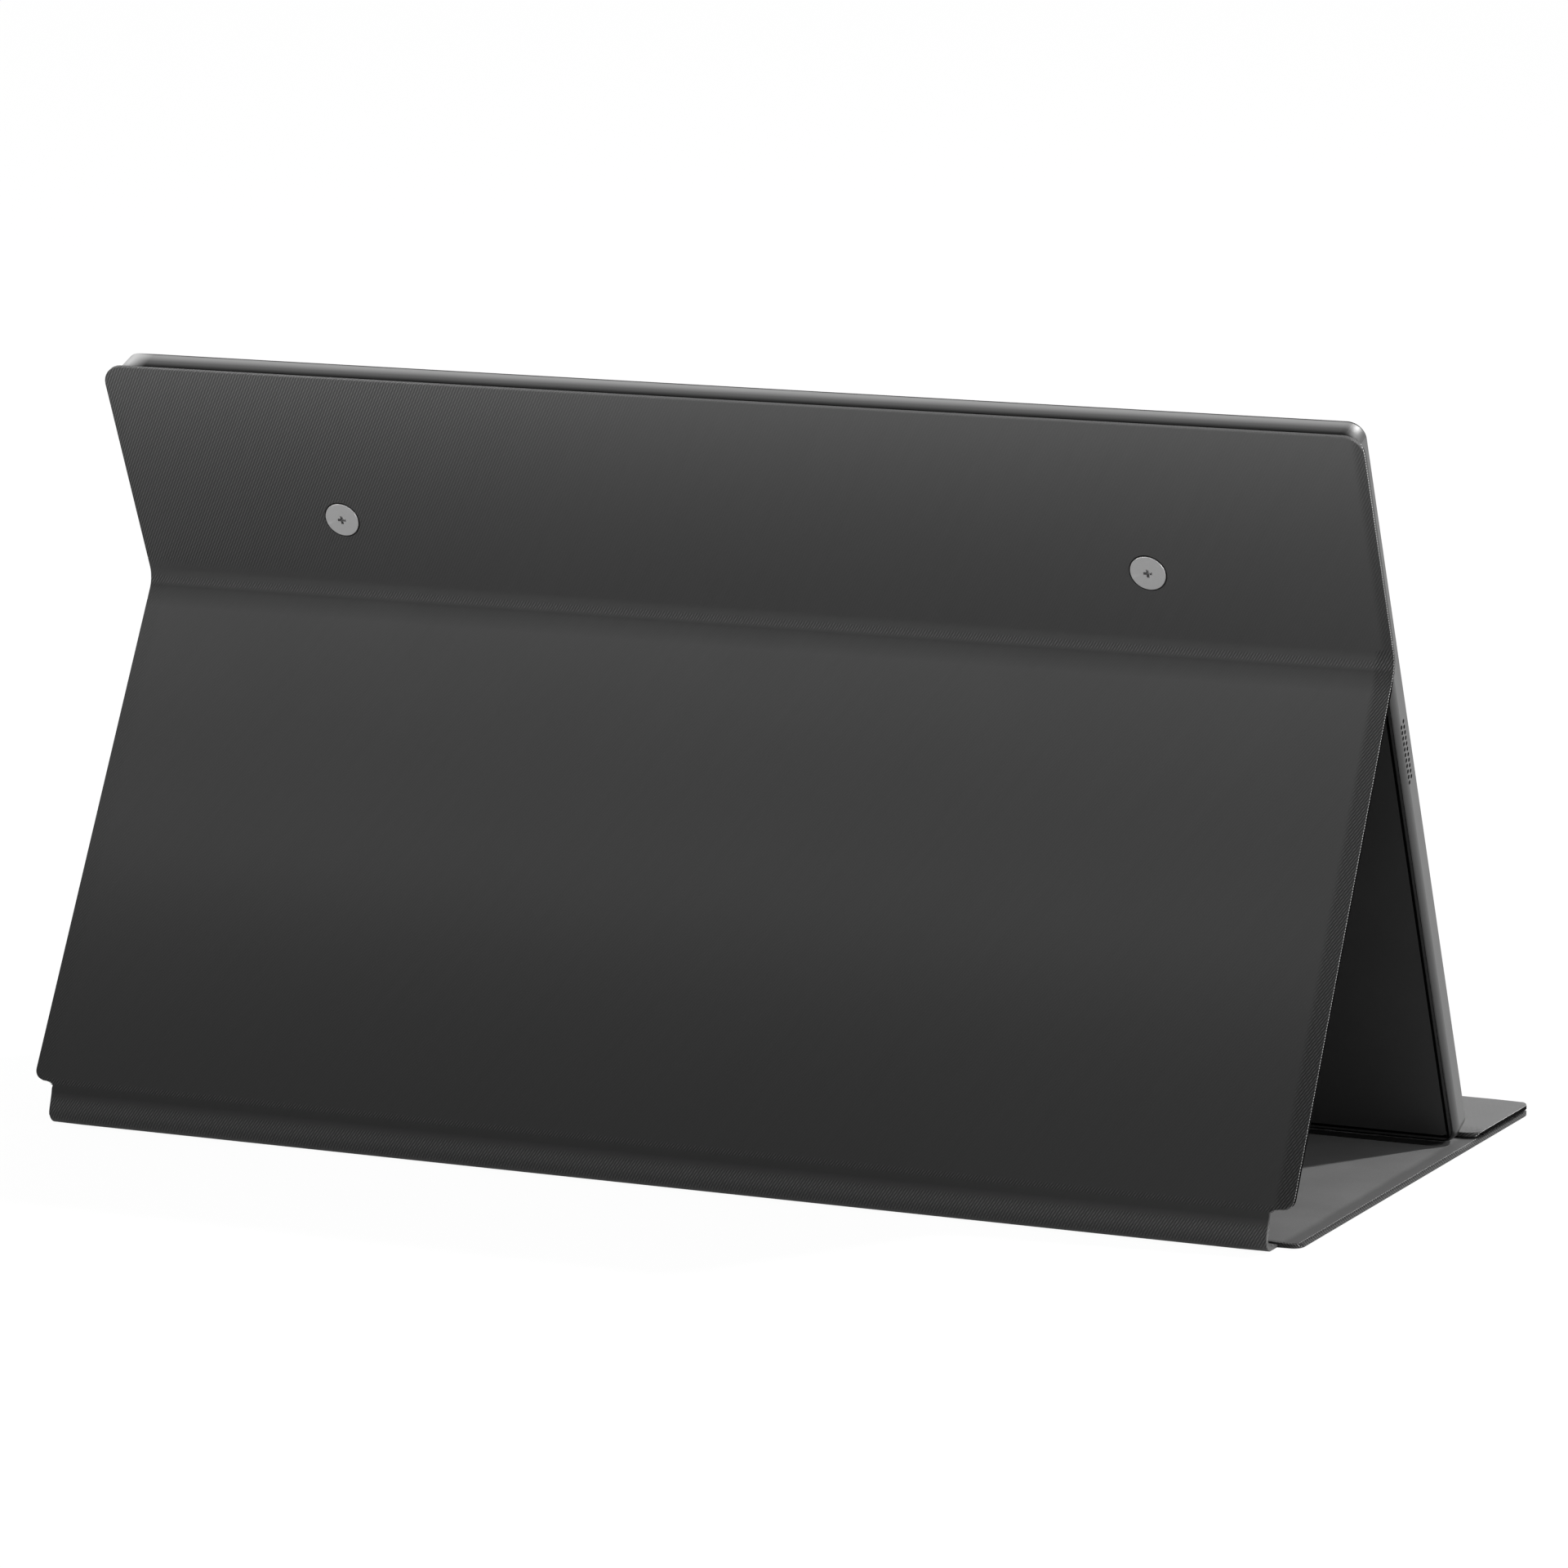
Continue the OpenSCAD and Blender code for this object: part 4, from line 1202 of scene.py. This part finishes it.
def anodised_rim():
    made, tree, shader = grained("anodised_rim", (grey(168), grey(182)), 0.3, (9000.0, 30.0),
                                 (0.00002, 0.4), 1.0)
    where = place(tree)
    normal = tree.nodes.new("ShaderNodeNewGeometry").outputs["True Normal"]
    facing = reach(tree, normal, up)
    part = after(reach(tree, where, forwards), rim_back, rim_deep)
    top = after(reach(tree, where, up), rim_top - top_band, 1.4 * MM)
    # Painted highlight on the far corner.
    far = after(axes(tree, where)[0], far_corner, 5 * MM) * (facing * 5.0).capped()
    # Painted shade on the rounded corners, where the key lamp's highlight falls.
    bevel = between(facing, *BEVEL_FACING, 0.08)
    # Painted shade on the underside.
    underside = (facing * 6.5 + 6.2).capped() * (1 - under_tone) + under_tone
    tone = mixed(tree, top, tone_along(tree, part, SIDE_STOPS), tone_along(tree, part, TOP_STOPS))
    tone = mixed(tree, far, tone, (1, 1, 1))
    shaded = add(tree, "VectorMath", colour_of(shader), tone, settings={"operation": "MULTIPLY"})
    gain = underside * (1.0 - bevel * bevel_darker + far * corner_lighter)
    feed(tree, shader, Base_Color=scaled(tree, shaded.outputs[0], gain))
    film = use(tree, dust, where, Scale=40.0, Amount=0.6)
    feed(tree, shader, Roughness=film["Mask"] * 0.08 + 0.28 + bevel * 0.25)
    return made


rim_metal = anodised_rim()
print("rim:", rim_metal.name, len(rim_metal.node_tree.nodes), "nodes")

# %% [markdown]
# ### Plastic, rubber, glass and boards
# The back plate is a dark moulded sheet with a fine leather-like grain, with painted shade in the
# groove that runs round it and painted light that makes it lighter towards its foot. The front is
# one sheet of black glass: a printed border, and inside it the picture area, which is a shade bluer
# when the screen is off.

# %% Plastics
def moulded(name, dark, light, rough_low, rough_high):
    made, tree, shader = grained(name, (grey(dark), grey(light)), rough_low, (3500.0, 50.0),
                                 (0.00003, 0.5), Specular_IOR_Level=0.4)
    dusty(tree, shader, place(tree), 30.0, 0.7, rough_low, rough_high)
    return made


def tinted(name, dark, light, roughness):
    return grained(name, (dark, light), roughness, (2000.0, 80.0), (0.00003, 0.4))[0]


rubber = moulded("grip_rubber", 14, 22, 0.6, 0.8)
black = moulded("black_plastic", 16, 26, 0.4, 0.6)
chip_black = moulded("chip_black", 28, 40, 0.5, 0.7)
solder_green = tinted("board_green", (0.01, 0.06, 0.03), (0.02, 0.1, 0.05), 0.4)
film_white = tinted("film_white", (0.72, 0.73, 0.75), (0.82, 0.83, 0.85), 0.3)
guide_clear = tinted("guide_clear", (0.6, 0.66, 0.7), (0.72, 0.77, 0.8), 0.12)
amber = tinted("amber_film", (0.4, 0.16, 0.03), (0.55, 0.26, 0.06), 0.35)
red_wire = tinted("wire_red", (0.4, 0.02, 0.02), (0.55, 0.04, 0.03), 0.4)
lamp = tinted("lamp_strip", (0.75, 0.7, 0.5), (0.88, 0.84, 0.66), 0.35)
print("plastics ready")

# %% Places on the plate and the screen
# The groove's painted shade, wider than the cut groove, and painted light that makes the plate
# lighter towards its foot.
groove_middle = 1.05 * MM
groove_half = 0.45 * MM
groove_dark = 0.96
plate_low = 10 * MM
plate_rise = 110 * MM
foot_gain = 1.95
top_gain = 1
picture_in = 1.2 * MM
sharp_edge = 0.125 * MM


def span_of(name, less=0.0):
    """Half width, foot and top of a node along the monitor, measured from the crease."""
    heights = [(Vector(v.co) - crease).dot(up) for v in nodes[name].data.vertices]
    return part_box(name)[1].x - less, min(heights) + less, max(heights) - less


def inset(tree, half_w, low, high):
    """How far a point lies inside a rectangle in the monitor's own plane."""
    flat = add(tree, "Mapping", place(tree), settings={"vector_type": "TEXTURE"},
               Location=crease, Rotation=(math.radians(90) - lean, 0, 0))
    x, y, _ = axes(tree, flat.outputs[0])
    return (half_w - x.size()).smaller((y - low).smaller(high - y))


half_picture, foot, top = span_of("display_cell", picture_in)
print("picture area", round(2 * half_picture / MM, 1), "by", round((top - foot) / MM, 1), "mm")

# %% Back plate and screen
def back_skin():
    made = moulded("back_plate_skin", 51, 65, 0.42, 0.55)
    tree = made.node_tree
    shader = tree.nodes["Principled BSDF"]
    # Painted shade in the groove.
    off = (inset(tree, *span_of("back_plate")) - groove_middle).size()
    groove = before(off, groove_half, 0.11 * MM)
    # Painted light: the plate is lighter towards its foot.
    height = after(axes(tree, place(tree))[2], plate_low, plate_rise)
    gain = (foot_gain - height * (foot_gain - top_gain)) * (1.0 - groove * groove_dark)
    feed(tree, shader, Base_Color=scaled(tree, colour_of(shader), gain),
         Specular_IOR_Level=0.4 - groove * 0.37)
    return made


def screen_glass():
    made, tree, shader = finish("screen_glass", 0.06, Specular_IOR_Level=0.5, Coat_Weight=0.2)
    picture = after(inset(tree, *span_of("display_cell", picture_in)), 0, sharp_edge)
    feed(tree, shader, Base_Color=mixed(tree, picture, grey(9), (0.012, 0.014, 0.018)))
    dusty(tree, shader, place(tree), 14.0, 0.5, 0.04, 0.12)
    return made


plate = back_skin()
glass = screen_glass()
print("plate and screen:", plate.name, glass.name)

# %% [markdown]
# ## Giving the finishes out
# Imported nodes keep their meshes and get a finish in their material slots. New pieces get
# theirs here too, then the body that carries them, and the nodes they stand for.

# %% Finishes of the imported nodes
FINISHES = {
    rim_metal: ["housing_rim"],
    key_metal: ["power_button", "menu_rocker"],
    plate: ["back_plate"],
    glass: ["front_glass"],
    black: ["display_cell", "headphone_jack", "speaker_left", "speaker_right"],
    film_white: ["diffuser_films"],
    guide_clear: ["light_guide"],
    lamp: ["led_bar"],
    small_steel: ["chassis_sheet", "chip_shield", "plate_posts", "board_screws"],
    solder_green: ["driver_board", "main_board", "button_board"],
    amber: ["driver_flex", "screen_cable"],
    chip_black: ["board_chips"],
    port_steel: ["usb_port_low", "usb_port_high", "video_port"],
    red_wire: ["speaker_wires"],
    brass: ["screw_inserts", "board_posts"],
    board: ["upper_board", "prop_core", "base_board", "flap_board"],
    liner: ["upper_liner", "prop_liner", "base_liner", "flap_liner", "spine_liner"],
    cloth: ["upper_twill", "prop_twill", "base_twill", "flap_twill", "spine_twill", "spine_bend",
            "crease_hinge", "prop_hinge", "base_hinge", "fold_hinge"],
    disc_metal: ["cover_screw_left", "cover_screw_right"],
    rubber: ["grip_strip"],
}
for material, names in FINISHES.items():
    for name in names:
        data = nodes[name].data
        data.materials.clear()
        data.materials.append(material)
finished = {name for names in FINISHES.values() for name in names}
print("nodes without a finish:", sorted(set(nodes) - finished))

# %% Finishes of the new pieces
def dress(piece, *materials):
    piece.data.materials.clear()
    for material in materials:
        piece.data.materials.append(material)


for piece in cloth_pieces:
    dress(piece, cloth, liner)
for piece in linings.values():
    dress(piece, liner)
for piece in screws:
    dress(piece, disc_metal)
for piece in contacts:
    dress(piece, gold)
dress(grip_strip, rubber)
new_pieces = [*cloth_pieces, *linings.values(), *screws, *contacts, grip_strip]
print("new pieces with a finish:", len(new_pieces))

# %% Bodies and nodes that the pieces stand for
SKINS = [
    (upper_skin, "monitor", "twill", ["upper_twill"]),
    (prop_skin, "prop", "twill", ["prop_twill"]),
    (spine_skin, "spine", "twill", ["spine_twill", "spine_bend", "spine_liner"]),
    (base_skin, "base", "twill", ["base_twill"]),
    (flap_skin, "flap", "twill", ["flap_twill"]),
    (linings["upper"], "monitor", "liner", ["upper_liner"]),
    (linings["prop"], "prop", "liner", ["prop_liner"]),
    (linings["base"], "base", "liner", ["base_liner"]),
    (linings["flap"], "flap", "liner", ["flap_liner"]),
    (grip_strip, "base", "grip", ["grip_strip"]),
    (screws[0], "monitor", "disc_steel", ["cover_screw_right"]),
    (screws[1], "monitor", "disc_steel", ["cover_screw_left"]),
]
for piece, body, slot, stands_for in SKINS:
    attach(piece, body)
    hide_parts(*stands_for)
for piece in contacts:
    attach(piece, "monitor")

BANDS = [
    (crease_strip, "monitor", "prop", upper_end, prop_from, "crease_hinge"),
    (heel_strip, "prop", "spine", prop_to, spine_from, "prop_hinge"),
    (sole_strip, "spine", "base", spine_to, base_from, "base_hinge"),
    (fold_strip, "base", "flap", base_to, flap_from, "fold_hinge"),
]
for piece, first, second, top, bottom, stands_for in BANDS:
    start, end = laid(Vector((0, top, 0))), laid(Vector((0, bottom, 0)))
    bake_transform(piece)
    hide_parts(stands_for)
print("pieces placed:", len(SKINS) + len(BANDS) + len(contacts))

# %% [markdown]
# ## Floor, backdrop and light
# Seen by the camera, the floor and the world are white, and only a soft shadow stays of the
# floor. As a light the world is a room that grows brighter towards the screen's side. A small
# key lamp high on that side throws the clear shadow inside the stand, and a side and a front
# lamp fill. Two long strips just behind the cover give its back the soft fall of light from
# top to bottom, and the camera doesn't see them.

# %% Floor
floor_size = 12
floor_z = -0.2 * MM
floor_tone = 0.3
floor_glow = 1.165
camera_lift = 0.83
gloss_lift = 0.35
bpy.ops.object.select_all(action="DESELECT")
bpy.ops.mesh.primitive_plane_add(size=floor_size, location=(0, 0, floor_z))
floor = bpy.context.object
floor.name = "floor"
bpy.ops.object.transform_apply(location=True, rotation=True, scale=True)
made, tree, shader = finish("floor_white", 0.9, Specular_IOR_Level=0.1,
                            Base_Color=(floor_tone, floor_tone, floor_tone))
rays = add(tree, "LightPath").outputs
glow = add(tree, "Emission", Strength=floor_glow)
lifted = Value(tree, rays["Is Camera Ray"]) * camera_lift
shiny = Value(tree, rays["Is Glossy Ray"]) * gloss_lift
both = add(tree, "MixShader", lifted.larger(shiny), shader.outputs[0], glow.outputs[0])
feed(tree, tree.nodes["Material Output"], Surface=both.outputs[0])
floor.data.materials.append(made)
print("floor:", floor_size, "m wide")

# %% Room
TO_BRIGHT_SIDE = (0.4, -0.9, 0)
room_dim = 0.03
room_bright = 0.76
world = bpy.data.worlds.new("studio")
bpy.context.scene.world = world
world.use_nodes = True
tree = world.node_tree
rays = add(tree, "LightPath").outputs
aim = reach(tree, add(tree, "TexCoord").outputs["Generated"], TO_BRIGHT_SIDE)
room = after(aim, -0.9, 1.6) * (room_bright - room_dim) + room_dim
seen = Value(tree, rays["Is Camera Ray"]).larger(Value(tree, rays["Is Transmission Ray"]))
feed(tree, tree.nodes["Background"], Color=(1, 1, 1), Strength=room.larger(seen))
print("world:", world.name)

# %% Lamps
def lamp_at(name, spot, size, power, aim):
    data = bpy.data.lights.new(name, "AREA")
    data.shape = "RECTANGLE"
    data.size, data.size_y = size
    data.energy = power
    light = bpy.data.objects.new(name, data)
    light.location = spot
    light.rotation_euler = (Vector(aim) - Vector(spot)).to_track_quat("-Z", "Y").to_euler()
    bpy.context.scene.collection.objects.link(light)
    return light


MIDDLE = (0, 0, 0.05)
STRIP = (0.9, 0.02)
lamp_at("key", (-1.52, -1.26, 2.25), (0.1, 0.1), 66, MIDDLE)
lamp_at("side_fill", (-1.6, 0.2, 0.35), (0.5, 0.5), 6, MIDDLE)
lamp_at("front_fill", (0.5, -1.8, 0.8), (1.6, 1.2), 3.5, MIDDLE)
for strip in (lamp_at("high_strip", (0, 0.1, 0.205), STRIP, 0.285, (0, 0, 0.205)),
              lamp_at("low_strip", (0, 0.09, 0.1), STRIP, 0.03, (0, 0.003, 0.05))):
    strip.visible_camera = False

scene = bpy.context.scene
scene.view_settings.view_transform = "Standard"
scene.render.film_transparent = False
print("stage set:", len(bpy.data.lights), "lamps")
